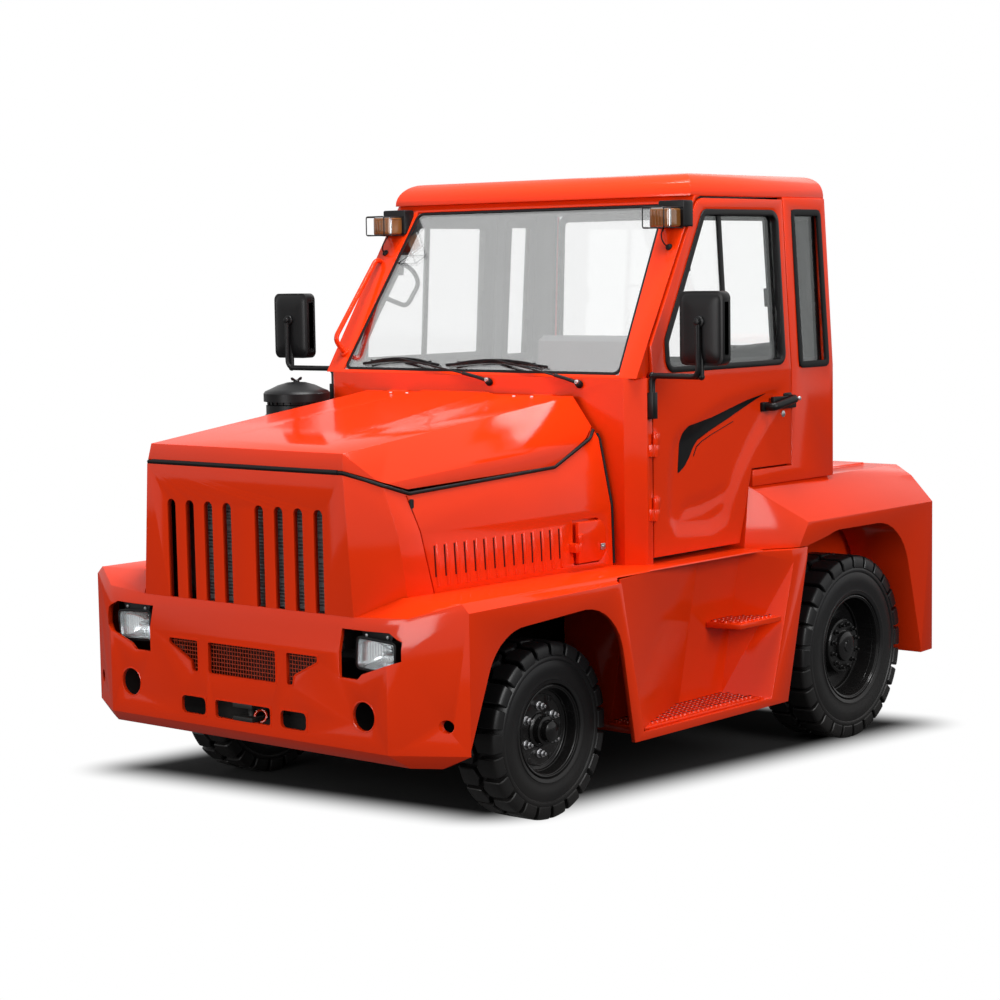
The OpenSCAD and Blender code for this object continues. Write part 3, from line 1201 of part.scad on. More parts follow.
// Cab inside
column_top = [wheel_x, wheel_y, wheel_z];
column_dir = [sin(wheel_tilt), 0, -cos(wheel_tilt)];
module dashboard() color(dark) {
    side_plate([[cab_front_x - wall_t, dash_low_z], [cab_front_x - 2 * cowl_ledge, dash_top_z],
        [cab_front_x - wall_t, dash_top_z], [dash_rear_x + wall_t, dash_top_z], [dash_rear_x, dash_top_z - wall_t],
        [dash_rear_x, dash_low_z]], -rear_in_y + 2 * jamb_t, rear_in_y - 2 * jamb_t);
    side_plate([[cab_front_x - 3 * cowl_ledge, dash_top_z - wall_t], [cab_front_x - 3 * cowl_ledge, dash_top_z],
        [hump_front_x, dash_hump_z - wall_t / 2], [hump_top_x, dash_hump_z], [hump_back_x, dash_hump_z - wall_t / 2],
        [hump_back_x, dash_top_z + wall_t], [dash_rear_x - dash_hump_rear, dash_top_z],
        [dash_rear_x - dash_hump_rear, dash_low_z + wall_t], [dash_rear_x, dash_low_z]],
        dash_hump_y - dash_hump_w / 2, dash_hump_y + dash_hump_w / 2);
    rod(column_top + column_dir * (wheel_hub_t + column_gap), column_top + column_dir * column_l, column_d);
    rod(column_top + column_dir * column_gap, column_top + column_dir * column_l, shaft_end_d);
}
module steering_wheel() color(black) translate(column_top) rotate([0, -wheel_tilt, 0]) difference() {
    union() {
        rotate_extrude() translate([wheel_r - wheel_tube, 0]) circle(wheel_tube);
        translate([0, 0, -wheel_hub_t]) cylinder(d = wheel_hub_d, h = wheel_hub_t);
        for (a = [90, 210, 330]) rotate(a) block([0, -wheel_spoke_w / 2, -wheel_spoke_t],
            [wheel_r - wheel_tube, wheel_spoke_w / 2, 0]);
    }
    translate([0, 0, -wheel_hub_t - overrun])
        cylinder(d = shaft_end_d + 2 * run_fit, h = wheel_hub_t + overrun - column_gap + run_fit);
}
module seat_bases() color(dark) both_sides()
    block([seat_front_x - seat_l + seat_base_in, seat_y - seat_w / 2 + seat_base_in, deck_z + floor_t],
        [seat_front_x - seat_base_in, seat_y + seat_w / 2 - seat_base_in, deck_z + floor_t + seat_base_h]);
module seats() color(black) both_sides() {
    translate([seat_front_x - seat_l / 2, seat_y, deck_z + floor_t + seat_base_h]) linear_extrude(seat_cushion_t)
        soft_square(seat_l, seat_w, seat_round);
    translate([seat_front_x - seat_l + seat_back_t, seat_y, deck_z + floor_t + seat_base_h + seat_cushion_t / 2])
        rotate([0, -90 - seat_back_lean, 0]) linear_extrude(seat_back_t)
            translate([seat_back_h / 2, 0]) soft_square(seat_back_h, seat_w, seat_round);
}

// Outside fittings
module mirrors() color(black) both_sides() {
    difference() {
        translate([mirror_x - mirror_t / 2, mirror_y, (mirror_low_z + mirror_top_z) / 2]) rotate([90, 0, 90])
            linear_extrude(mirror_t) soft_square(mirror_w, mirror_top_z - mirror_low_z, mirror_round);
        translate([mirror_x - mirror_t / 2 - overrun, mirror_y, (mirror_low_z + mirror_top_z) / 2])
            rotate([90, 0, 90]) linear_extrude(overrun + 2 * mirror_glass_t)
                soft_square(mirror_w - 2 * mirror_rim, mirror_top_z - mirror_low_z - 2 * mirror_rim, mirror_round / 2);
    }
    block([mirror_foot_x - mirror_foot_w / 2, belt_y, mirror_foot_z - mirror_foot_h / 2],
        [mirror_foot_x + mirror_foot_w / 2, belt_y + mirror_foot_t, mirror_foot_z + mirror_foot_h / 2]);
    rod([mirror_foot_x, belt_y + mirror_foot_t / 2, mirror_foot_z],
        [mirror_foot_x, belt_y + mirror_foot_t / 2, mirror_bend_z], mirror_tube_d);
    rod([mirror_foot_x, belt_y + mirror_foot_t / 2, mirror_bend_z],
        [mirror_x + mirror_t / 2, mirror_y, mirror_bend_z], mirror_tube_d);
    translate([mirror_foot_x, belt_y + mirror_foot_t / 2, mirror_bend_z]) sphere(d = mirror_tube_d + bend_grow);
    translate([mirror_x + mirror_t / 2, mirror_y, mirror_bend_z]) sphere(d = mirror_tube_d + bend_grow);
    rod([mirror_x + mirror_t / 2, mirror_y, mirror_bend_z],
        [mirror_x + mirror_t / 2, mirror_y, (mirror_low_z + mirror_top_z) / 2], mirror_tube_d);
}
module mirror_glass() color(pane) both_sides()
    translate([mirror_x - mirror_t / 2 + mirror_glass_t, mirror_y, (mirror_low_z + mirror_top_z) / 2])
        rotate([90, 0, 90]) linear_extrude(mirror_glass_t) soft_square(mirror_w - 2 * mirror_rim - 2 * seat_fit,
            mirror_top_z - mirror_low_z - 2 * mirror_rim - 2 * seat_fit, mirror_round / 2);
module wipers() color(black) for (y = [wiper_out_y, wiper_in_y]) {
    rod([cab_front_x, y, wiper_z], [cab_front_x + wiper_out, y, wiper_z], 2 * wiper_r);
    rod([cab_front_x + wiper_out - wiper_arm_t, y, wiper_z], [screen_low_x, y - wiper_arm_l / 2, screen_low_z + wiper_rise],
        wiper_arm_t);
    on_screen() translate([y - wiper_arm_l, wiper_low, wiper_lift])
        rotate(-wiper_turn) cube([wiper_arm_l * wiper_blade_share, wiper_arm_w, wiper_blade_h]);
}
function on_pillar(share) = [screen_low_x + (screen_top_x - screen_low_x) * share,
    screen_low_z + (screen_top_z - screen_low_z) * share];
module work_lamps() color(steel) both_sides() {
    p = on_pillar(work_share);
    block([p[0] + work_out, work_y - work_w / 2, p[1] - work_h / 4],
        [p[0] + work_out + work_d, work_y + work_w / 2, p[1] + work_h * 3 / 4]);
    on_screen() translate([work_y, work_share * screen_l, screen_lip])
        cylinder(d = work_stem_d, h = work_out + work_d / 4);
}
module grab_rail() color(paint) {
    low = screen_l * rail_foot_share;
    high = screen_l * work_share - rail_head_gap;
    on_screen() translate([-screen_low_y - rail_tube_d, 0, screen_lip]) {
        rod([0, low, rail_out], [0, high, rail_out], rail_tube_d);
        for (v = [low, high]) {
            translate([0, v, 0]) cylinder(d = rail_tube_d, h = rail_out);
            translate([0, v, rail_out]) sphere(d = rail_tube_d + bend_grow);
        }
    }
}
module air_cleaner() color(black) translate([cleaner_x, -cleaner_y, 0]) {
    translate([0, 0, ledge_z]) cylinder(d = cleaner_post_d, h = cleaner_low_z - ledge_z);
    translate([0, 0, cleaner_low_z]) cylinder(d = cleaner_d, h = cleaner_z - cleaner_low_z);
    translate([0, 0, cleaner_z]) cylinder(d = cleaner_cap_d, h = cleaner_cap_t);
    translate([0, 0, cleaner_z + cleaner_cap_t])
        cylinder(d1 = cleaner_cap_d, d2 = cleaner_post_d, h = cleaner_dome_h);
    translate([0, 0, cleaner_z + cleaner_cap_t]) cylinder(d = cleaner_knob_d, h = cleaner_dome_h + cleaner_knob_h);
}

chassis_frame();
front_axle();
rear_axle();
engine_block();
radiator();
bumper();
bumper_mesh();
headlamps();
nose_panel();
hood();
side_covers();
fuel_flap();
side_bodies();
step_treads();
rear_fenders();
rear_body();
tail_lamps();
tow_jaw();
tow_pin();
cab_floor();
cab_cowl();
screen_frame();
cab_roof();
cab_quarters();
cab_back();
cab_glass();
door_left();
door_trim_left();
door_glass_left();
door_right();
door_trim_right();
door_glass_right();
dashboard();
steering_wheel();
seat_bases();
seats();
mirrors();
mirror_glass();
wipers();
work_lamps();
grab_rail();
air_cleaner();
knuckle_left();
front_tyre_left();
front_wheel_left();
knuckle_right();
front_tyre_right();
front_wheel_right();
rear_tyre_left();
rear_wheel_left();
rear_tyre_right();
rear_wheel_right();
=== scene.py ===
import bpy
import bmesh
import json
import math
from mathutils import Matrix, Vector
from mathutils.bvhtree import BVHTree


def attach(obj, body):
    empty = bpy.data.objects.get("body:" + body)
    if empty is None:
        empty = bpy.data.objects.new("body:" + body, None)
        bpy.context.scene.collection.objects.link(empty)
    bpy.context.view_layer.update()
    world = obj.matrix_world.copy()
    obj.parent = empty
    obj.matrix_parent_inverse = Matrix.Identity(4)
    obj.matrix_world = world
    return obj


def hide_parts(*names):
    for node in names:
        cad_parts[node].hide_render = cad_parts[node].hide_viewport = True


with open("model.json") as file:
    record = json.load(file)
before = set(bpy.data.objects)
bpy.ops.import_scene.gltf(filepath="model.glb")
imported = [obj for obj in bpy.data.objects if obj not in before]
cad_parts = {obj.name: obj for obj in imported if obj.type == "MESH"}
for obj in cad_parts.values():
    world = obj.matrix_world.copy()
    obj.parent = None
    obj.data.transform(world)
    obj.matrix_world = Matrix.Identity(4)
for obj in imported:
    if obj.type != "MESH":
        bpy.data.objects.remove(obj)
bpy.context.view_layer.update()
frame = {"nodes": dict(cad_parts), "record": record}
nodes = frame["nodes"]
bodyOf = {n: b for b, members in frame["record"]["behaviour"]["bodies"].items() for n in members}
slotOf = {s["node"]: s["material_slot"] for s in frame["record"]["subparts"]}
scene = bpy.context.scene
scene.view_settings.view_transform = "Standard"
print("frame loaded:", len(nodes), "nodes")

# camera fitted to the photo's viewpoint
shot = {"place": (6.8533, 5.5515, 1.8212), "yaw": -2.44, "pitch": -0.0984, "roll": -0.0151, "lens": 84.75,
        "sensor": 36}


def aimCamera():
    cam = bpy.data.cameras.new("photoCamera")
    cam.sensor_width = shot["sensor"]
    cam.lens = shot["lens"]
    level = math.cos(shot["pitch"])
    ahead = Vector((level * math.cos(shot["yaw"]), level * math.sin(shot["yaw"]), math.sin(shot["pitch"])))
    right = ahead.cross(Vector((0, 0, 1))).normalized()
    up = right.cross(ahead)
    c, s = math.cos(shot["roll"]), math.sin(shot["roll"])
    right, up = c * right + s * up, -s * right + c * up
    turn = Matrix((right, up, -ahead)).transposed().to_4x4()
    obj = bpy.data.objects.new("photoCamera", cam)
    obj.matrix_world = Matrix.Translation(shot["place"]) @ turn
    scene.collection.objects.link(obj)
    scene.camera = obj


aimCamera()


# shader nodes: a socket is linked, any other value is set
def fill(tree, n, ins):
    for label, value in ins.items():
        if isinstance(value, bpy.types.NodeSocket):
            tree.links.new(value, n.inputs[label])
        else:
            n.inputs[label].default_value = value


def node(tree, kind, ins=None, **sets):
    n = tree.nodes.new(kind)
    for label, value in sets.items():
        setattr(n, label, value)
    fill(tree, n, ins or {})
    return n


def calc(tree, operation, *ins, clamp=False):
    return node(tree, "ShaderNodeMath", dict(enumerate(ins)), operation=operation, use_clamp=clamp).outputs[0]


def calcVector(tree, operation, *ins, out="Vector"):
    return node(tree, "ShaderNodeVectorMath", dict(enumerate(ins)), operation=operation).outputs[out]


def newMaterial(name):
    mat = bpy.data.materials.new(name)
    mat.use_nodes = True
    return mat, mat.node_tree, mat.node_tree.nodes["Principled BSDF"]


# studio: white surround, one big soft key, a fill, a top light and a weak one behind
studio = {"sky": 0.24, "skyColor": (0.97, 0.985, 1.0, 1),
          "lamps": {"keyLamp": ((1.6, 7.0, 3.6), (0, 0, 0.9), 3.5, 290),
                    "fillLamp": ((8.0, -0.5, 2.4), (0.5, 0, 0.9), 3.0, 250),
                    "topLamp": ((0.4, 0.6, 5.6), (0, 0, 1), 2.6, 340),
                    "backLamp": ((-7.0, -3.0, 4.0), (-0.5, 0, 1), 4.0, 50)}}
# the floor's colour is painted near black inside a skewed box under the tractor (its middle and half sizes
# below), a painted shadow that fades to white outside it
ground = {"half": 40, "color": (0.05, 0.05, 0.05, 1), "rough": 0.8, "mirrored": 0.12, "fade": (0.0, 0.30),
          "shadowAt": (-0.02, -0.10, 0.0), "foot": (1.02, 0.71, 0.0),
          "skew": {"X": (1, 0.125, 0), "Y": (0.137, 1, 0)}}


def seenRays(tree, mirrored=1.0):
    path = node(tree, "ShaderNodeLightPath").outputs
    glossy = calc(tree, "MULTIPLY", path["Is Glossy Ray"], mirrored)
    seen = calc(tree, "MAXIMUM", path["Is Camera Ray"], glossy)
    return calc(tree, "MAXIMUM", seen, path["Is Transmission Ray"])


def setLights():
    world = bpy.data.worlds.new("studioWorld")
    scene.world = world
    world.use_nodes = True
    tree = world.node_tree
    tree.nodes.clear()
    light = node(tree, "ShaderNodeBackground", {"Color": studio["skyColor"], "Strength": studio["sky"]})
    white = node(tree, "ShaderNodeBackground", {"Color": (1, 1, 1, 1), "Strength": 1.0})
    mix = node(tree, "ShaderNodeMixShader", {0: seenRays(tree), 1: light.outputs[0], 2: white.outputs[0]})
    node(tree, "ShaderNodeOutputWorld", {"Surface": mix.outputs[0]})
    for name, (place, target, size, power) in studio["lamps"].items():
        lamp = bpy.data.lights.new(name, "AREA")
        lamp.size = size
        lamp.energy = power
        obj = bpy.data.objects.new(name, lamp)
        obj.location = place
        obj.rotation_euler = (Vector(target) - Vector(place)).to_track_quat("-Z", "Y").to_euler()
        scene.collection.objects.link(obj)


def layFloor():
    bm = bmesh.new()
    bmesh.ops.create_grid(bm, x_segments=1, y_segments=1, size=ground["half"])
    mesh = bpy.data.meshes.new("studioFloor")
    bm.to_mesh(mesh)
    bm.free()
    floor = bpy.data.objects.new("studioFloor", mesh)
    scene.collection.objects.link(floor)
    mat, t, bsdf = newMaterial("studioFloor")
    fill(t, bsdf, {"Base Color": ground["color"], "Roughness": ground["rough"], "Specular IOR Level": 0.0})
    # the floor is painted near black under the tractor, a painted shadow, and fades to plain white away from
    # it, for the eye and for mirrors
    co = node(t, "ShaderNodeTexCoord").outputs["Object"]
    skewed = node(t, "ShaderNodeCombineXYZ", {label: calcVector(t, "DOT_PRODUCT", co, line, out="Value")
                                              for label, line in ground["skew"].items()})
    away = calcVector(t, "ABSOLUTE", calcVector(t, "SUBTRACT", skewed.outputs[0], ground["shadowAt"]))
    past = calcVector(t, "MAXIMUM", calcVector(t, "SUBTRACT", away, ground["foot"]), (0, 0, 0))
    far = calcVector(t, "LENGTH", past, out="Value")
    fade = node(t, "ShaderNodeMapRange", {"Value": far, "From Min": ground["fade"][0],
                                          "From Max": ground["fade"][1]}, interpolation_type="SMOOTHSTEP")
    shown = calc(t, "MULTIPLY", fade.outputs[0], seenRays(t, ground["mirrored"]))
    glow = node(t, "ShaderNodeEmission")
    mix = node(t, "ShaderNodeMixShader", {0: shown, 1: bsdf.outputs[0], 2: glow.outputs[0]})
    fill(t, t.nodes["Material Output"], {"Surface": mix.outputs[0]})
    mesh.materials.append(mat)


setLights()
layFloor()
print("camera and studio set")

# shared finish effects
wear = {"fineDetail": 3, "broad": (2.3, 4), "dust": (9, 6), "steps": (0.3, 0.7), "roughSpread": 0.05,
        "relief": 0.002}
cabIn = {"belt": (1.437, 2.145), "half": (0.745, 0.702), "skin": 0.026, "back": -0.789, "roof": 2.0645,
         "screen": (0.8484, 0, 0.5292), "reach": 1.1031, "lining": (0.012, 0.012, 0.013, 1)}


def newGroup(name, ins, outs):
    g = bpy.data.node_groups.new(name, "ShaderNodeTree")
    for label, value in ins.items():
        g.interface.new_socket(label, in_out="INPUT", socket_type="NodeSocketFloat").default_value = value
    for label in outs:
        g.interface.new_socket(label, in_out="OUTPUT", socket_type="NodeSocketFloat")
    co = node(g, "ShaderNodeTexCoord").outputs["Object"]
    return g, node(g, "NodeGroupInput").outputs, node(g, "NodeGroupOutput"), co


def noise(g, co, scale, detail):
    return node(g, "ShaderNodeTexNoise", {"Vector": co, "Scale": scale, "Detail": detail}).outputs["Fac"]


def makeGrain():
    g, given, out, co = newGroup("surfaceGrain", {"Scale": 60.0, "Depth": 0.1}, ("Height", "Mottle"))
    fine = noise(g, co, given["Scale"], wear["fineDetail"])
    fill(g, out, {"Height": calc(g, "MULTIPLY", fine, given["Depth"]),
                  "Mottle": noise(g, co, *wear["broad"])})
    return g


def makeDust():
    g, given, out, co = newGroup("roadDust", {"Top": 0.5, "Amount": 0.3}, ("Mask",))
    height = node(g, "ShaderNodeSeparateXYZ", {0: co}).outputs["Z"]
    low = node(g, "ShaderNodeMapRange", {"Value": height, "From Min": 0.0, "From Max": given["Top"],
                                         "To Min": 1.0, "To Max": 0.0}).outputs[0]
    spread = calc(g, "MULTIPLY", low, noise(g, co, *wear["dust"]))
    fill(g, out, {"Mask": calc(g, "MULTIPLY", spread, given["Amount"], clamp=True)})
    return g


def makeCabInside():
    # 1 on the faces of the cab shell that look inwards
    g, given, out, co = newGroup("cabInside", {"Skin": cabIn["skin"]}, ("Mask",))
    at = node(g, "ShaderNodeSeparateXYZ", {0: co}).outputs
    lean = node(g, "ShaderNodeMapRange", {"Value": at["Z"], "From Min": cabIn["belt"][0],
                                          "From Max": cabIn["belt"][1], "To Min": cabIn["half"][0],
                                          "To Max": cabIn["half"][1]}).outputs[0]
    deep = calc(g, "SUBTRACT", lean, calc(g, "ABSOLUTE", at["Y"]))
    ahead = calcVector(g, "DOT_PRODUCT", co, cabIn["screen"], out="Value")
    mask = calc(g, "GREATER_THAN", deep, given["Skin"])
    for source, kind, limit in ((at["X"], "GREATER_THAN", "back"), (ahead, "LESS_THAN", "reach"),
                                (at["Z"], "LESS_THAN", "roof")):
        mask = calc(g, "MULTIPLY", mask, calc(g, kind, source, cabIn[limit]))
    fill(g, out, {"Mask": mask})
    return g


grainGroup = makeGrain()
dustGroup = makeDust()
cabInsideGroup = makeCabInside()


def finish(name, color, rough, metal=0.0, coat=0.0, grain=(60, 0.1), bump=0.02, dust=(0.5, 0.15),
           dustColor=(0.30, 0.26, 0.22, 1), mottle=0.06, spec=0.5, coatRough=0.05, tint=(1, 1, 1),
           lined=False):
    mat, t, b = newMaterial(name)
    gr = node(t, "ShaderNodeGroup", {"Scale": grain[0], "Depth": grain[1]}, node_tree=grainGroup)
    dusty = node(t, "ShaderNodeGroup", {"Top": dust[0], "Amount": dust[1]},
                 node_tree=dustGroup).outputs["Mask"]
    ramp = node(t, "ShaderNodeValToRGB", {"Fac": gr.outputs["Mottle"]})
    for i, k in enumerate((1 - mottle, 1 + mottle)):
        ramp.color_ramp.elements[i].position = wear["steps"][i]
        ramp.color_ramp.elements[i].color = (*[min(1, c * k) for c in color], 1)
    shown = node(t, "ShaderNodeMix", {"Factor": dusty, "A": ramp.outputs["Color"], "B": dustColor},
                 data_type="RGBA").outputs["Result"]
    if lined:
        inner = node(t, "ShaderNodeGroup", node_tree=cabInsideGroup).outputs["Mask"]
        shown = node(t, "ShaderNodeMix", {"Factor": inner, "A": shown, "B": cabIn["lining"]},
                     data_type="RGBA").outputs["Result"]
    worn = node(t, "ShaderNodeMapRange", {"Value": gr.outputs["Mottle"],
                                          "To Min": max(0.02, rough - wear["roughSpread"]),
                                          "To Max": min(1, rough + wear["roughSpread"])}).outputs[0]
    relief = node(t, "ShaderNodeBump", {"Strength": bump, "Distance": wear["relief"],
                                       "Height": gr.outputs["Height"]})
    fill(t, b, {"Base Color": shown, "Roughness": calc(t, "ADD", worn, dusty, clamp=True), "Metallic": metal,
                "Coat Weight": coat, "Coat Roughness": coatRough, "Specular IOR Level": spec,
                "Specular Tint": (*tint, 1), "Normal": relief.outputs["Normal"]})
    return mat


def makeGlass(name, tint, ior=1.45, rough=0.0):
    mat, t, b = newMaterial(name)
    fill(t, b, {"Base Color": (*tint, 1), "Transmission Weight": 1.0, "Roughness": rough, "IOR": ior})
    return mat


paintLook = {"color": (0.74, 0.034, 0.003), "rough": 0.22, "coat": 0.48, "grain": (420, 0.12), "bump": 0.02,
             "dust": (0.35, 0.06), "mottle": 0.03, "spec": 0.0, "coatRough": 0.12, "tint": (1.0, 0.30, 0.16)}
clean = (0.1, 0.0)
finishes = {
    "paint": finish("orangeRedPaint", **paintLook),
    "cabPaint": finish("linedCabPaint", lined=True, **paintLook),
    "frame_black": finish("satinBlack", (0.007, 0.007, 0.0075), 0.42, grain=(180, 0.4), bump=0.05,
                          dust=(0.6, 0.2), spec=0.2),
    "cast": finish("castIron", (0.02, 0.02, 0.021), 0.6, metal=0.3, grain=(140, 1.0), bump=0.25,
                   dust=(0.9, 0.2), spec=0.25),
    "core": finish("coreFins", (0.24, 0.24, 0.245), 0.45, metal=0.6, grain=(200, 0.5), bump=0.1),
    "lamp": finish("lampShell", (0.008, 0.008, 0.0085), 0.4, grain=(200, 0.4), bump=0.05, spec=0.2),
    "red_lens": finish("redLens", (0.42, 0.01, 0.01), 0.12, coat=0.6, grain=(90, 0.5), bump=0.03),
    "steel": finish("bareSteel", (0.5, 0.5, 0.51), 0.3, metal=1.0, grain=(260, 0.5), bump=0.06, dust=clean),
    "mat": finish("floorMat", (0.018, 0.018, 0.018), 0.75, grain=(120, 1.0), bump=0.3),
    "glass": makeGlass("clearGlass", (0.96, 0.985, 0.975), ior=1.1),
    "trim": finish("blackPlastic", (0.006, 0.006, 0.0065), 0.36, grain=(300, 0.8), bump=0.10,
                   dust=(0.3, 0.05), spec=0.18),
    "dash": finish("greyMoulding", (0.10, 0.10, 0.105), 0.55, grain=(350, 1.0), bump=0.15),
    "seat": finish("blackVinyl", (0.009, 0.009, 0.0095), 0.5, grain=(220, 1.0), bump=0.2, spec=0.3),
    "mirror": finish("mirrorGlass", (0.85, 0.86, 0.88), 0.05, metal=1.0, grain=(20, 0.0), bump=0.0,
                     dust=clean, mottle=0.0),
    "tyre": finish("tyreRubber", (0.007, 0.007, 0.0075), 0.36, grain=(90, 0.8), bump=0.12, dust=(0.5, 0.05),
                   spec=0.30),
    "rim": finish("rimBlack", (0.006, 0.006, 0.0065), 0.22, coat=0.2, grain=(200, 0.3), bump=0.03,
                  dust=(0.6, 0.05), spec=0.2),
}
rubber = finish("blackRubber", (0.005, 0.005, 0.0055), 0.5, grain=(240, 0.6), bump=0.08, dust=(0.3, 0.03),
                spec=0.15)
for name, obj in nodes.items():
    obj.data.materials.clear()
    obj.data.materials.append(finishes[slotOf[name]])
print("finishes:", len(finishes))

# shared modelling steps
leftRight = (("left", 1), ("right", -1))
across = (0, 1, 0)      # the normal of the left side
forward = (1, 0, 0)
backward = (-1, 0, 0)
screenNormal = cabIn["screen"]
sideLean = (0, 0.99765, 0.0685)     # the normal of the cab's left side above the belt
cabBelt = (0.745, 1.437)    # its half width and height at the belt
flips = {side: Matrix.Scale(side, 4, across) for side in (1, -1)}


def addPiece(name, bm, slot, body, mat=None, smooth=34, stands=()):
    mesh = bpy.data.meshes.new(name)
    bm.to_mesh(mesh)
    bm.free()
    mesh.shade_smooth()
    mesh.set_sharp_from_angle(angle=math.radians(smooth))
    mesh.materials.append(mat or finishes[slot])
    obj = bpy.data.objects.new(name, mesh)
    scene.collection.objects.link(obj)
    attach(obj, body)
    if stands:
        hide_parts(*stands)
    return obj


def between(pair, k):
    return pair[0] + (pair[1] - pair[0]) * k


def oblong(x0, x1, y0, y1):
    return [(x0, y0), (x1, y0), (x1, y1), (x0, y1)]


def box(w, h):
    # an oblong of half sizes w and h
    return oblong(-w, w, -h, h)


def tapered(low, high, y0, y1):
    # half widths at the foot and at the head
    return [(-low, y0), (low, y0), (high, y1), (-high, y1)]


def facing(at, normal):
    z = Vector(normal).normalized()
    x = Vector((0, 0, 1)).cross(z).normalized()
    m = Matrix((x, z.cross(x), z)).transposed().to_4x4()
    m.translation = Vector(at)
    return m


def raised(place, z):
    return place @ Matrix.Translation((0, 0, z))


def turned(angle):
    return Matrix.Rotation(angle, 4, "Z")


def vertsIn(geom):
    return [v for v in geom if isinstance(v, bmesh.types.BMVert)]


def edgesIn(geom):
    return [e for e in geom if isinstance(e, bmesh.types.BMEdge)]


def facesIn(geom):
    return [f for f in geom if isinstance(f, bmesh.types.BMFace)]


def sharpEdges(bm, angle):
    return [e for e in bm.edges if len(e.link_faces) == 2 and e.calc_face_angle(0) > math.radians(angle)]


def joinInto(bm, part, place=None):
    if place is not None:
        bmesh.ops.transform(part, matrix=place, verts=part.verts)
        if place.determinant() < 0:
            bmesh.ops.reverse_faces(part, faces=part.faces)
    mesh = bpy.data.meshes.new("joining")
    part.to_mesh(mesh)
    part.free()
    bm.from_mesh(mesh)
    bpy.data.meshes.remove(mesh)


def roundEdges(bm, edges, width, segments=2):
    bmesh.ops.bevel(bm, geom=list(edges), offset=width, offset_type="OFFSET", segments=segments, profile=0.5,
                    affect="EDGES", material=-1, clamp_overlap=True)


def addBlock(bm, lo, hi, soft=0.0, segments=2, place=None):
    part = bmesh.new()
    bmesh.ops.create_cube(part, size=1)
    bmesh.ops.scale(part, vec=Vector(hi) - Vector(lo), verts=part.verts)
    bmesh.ops.translate(part, vec=(Vector(hi) + Vector(lo)) / 2, verts=part.verts)
    if soft:
        roundEdges(part, part.edges, soft, segments)
    joinInto(bm, part, place)


def addPrism(bm, corners, depth, soft=0.0, place=None, segments=2):
    # a flat outline in x and y, pushed along z
    part = bmesh.new()
    face = part.faces.new([part.verts.new((x, y, 0)) for x, y in corners])
    out = bmesh.ops.extrude_face_region(part, geom=[face])
    bmesh.ops.translate(part, vec=(0, 0, depth), verts=vertsIn(out["geom"]))
    bmesh.ops.recalc_face_normals(part, faces=part.faces)
    if soft:
        rims = [e for e in part.edges if abs(e.verts[0].co.z - e.verts[1].co.z) < 1e-7
                and e.calc_face_angle(0) > math.radians(60)]
        roundEdges(part, rims, soft, segments)
    joinInto(bm, part, place)


def addDrum(bm, place, r0, r1, depth, steps=24, soft=0.0):
    part = bmesh.new()
    bmesh.ops.create_cone(part, cap_ends=True, segments=steps, radius1=r0, radius2=r1, depth=depth)
    bmesh.ops.translate(part, vec=(0, 0, depth / 2), verts=part.verts)
    if soft:
        roundEdges(part, [e for e in part.edges if any(len(f.verts) > 4 for f in e.link_faces)], soft)
    joinInto(bm, part, place)


def addSpin(bm, profile, place, steps, loop=False):
    # outline of (radius, height) pairs turned once round z
    part = bmesh.new()
    row = [part.verts.new((r, 0, z)) for r, z in profile]
    pairs = list(zip(row, row[1:])) + ([(row[-1], row[0])] if loop else [])
    edges = [part.edges.new(p) for p in pairs]
    bmesh.ops.spin(part, geom=row + edges, cent=(0, 0, 0), axis=(0, 0, 1), dvec=(0, 0, 0), angle=2 * math.pi,
                   steps=steps, use_merge=True, use_duplicate=False)
    bmesh.ops.remove_doubles(part, verts=part.verts, dist=1e-6)
    bmesh.ops.recalc_face_normals(part, faces=part.faces)
    joinInto(bm, part, place)


def addRing(bm, r, z, thick, place, steps, sides=8):
    turns = [2 * math.pi * k / sides for k in range(sides)]
    addSpin(bm, [(r + thick * math.cos(a), z + thick * math.sin(a)) for a in turns], place, steps, loop=True)


def roundedPath(points, radius, steps=5):
    # straight runs with arcs at the bends
    pts = [Vector(p) for p in points]
    out = [pts[0]]
    for a, b, c in zip(pts, pts[1:], pts[2:]):
        u, v = (a - b), (c - b)
        cut = min(radius, u.length * 0.48, v.length * 0.48)
        p, q = b + u.normalized() * cut, b + v.normalized() * cut
        for i in range(steps + 1):
            k = i / steps
            out.append(p.lerp(b, k).lerp(b.lerp(q, k), k))
    out.append(pts[-1])
    return out


def addTube(bm, points, r, steps=10, loop=False, flat=1.0):
    # a ring carried along the points, one extrusion for each of them
    pts = [Vector(p) for p in points]
    part = bmesh.new()
    count = len(pts)
    frames = []
    side = None
    for i, p in enumerate(pts):
        ahead = (pts[(i + 1) % count] if loop or i + 1 < count else p) - (pts[i - 1] if loop or i else p)
        ahead.normalize()
        if side is None:
            side = ahead.cross(Vector((0, 0, 1)))
            if side.length < 1e-3:
                side = ahead.cross(Vector(across))
        side = (side - ahead * side.dot(ahead)).normalized()
        m = Matrix((side, ahead.cross(side), ahead)).transposed().to_4x4()
        m.translation = p
        frames.append(m)
    ring = bmesh.ops.create_circle(part, cap_ends=not loop, segments=steps, radius=r)["verts"]
    bmesh.ops.scale(part, vec=(1, flat, 1), verts=ring)
    bmesh.ops.transform(part, matrix=frames[0], verts=ring)
    first = list(part.edges)
    edges = first
    for a, b in zip(frames, frames[1:]):
        made = bmesh.ops.extrude_edge_only(part, edges=edges)["geom"]
        fresh = vertsIn(made)
        bmesh.ops.transform(part, matrix=b @ a.inverted(), verts=fresh)
        edges = [e for e in edgesIn(made) if all(v in fresh for v in e.verts)]
    if loop:
        bmesh.ops.bridge_loops(part, edges=first + edges)
    else:
        bmesh.ops.holes_fill(part, edges=edges, sides=0)
    bmesh.ops.recalc_face_normals(part, faces=part.faces)
    joinInto(bm, part)


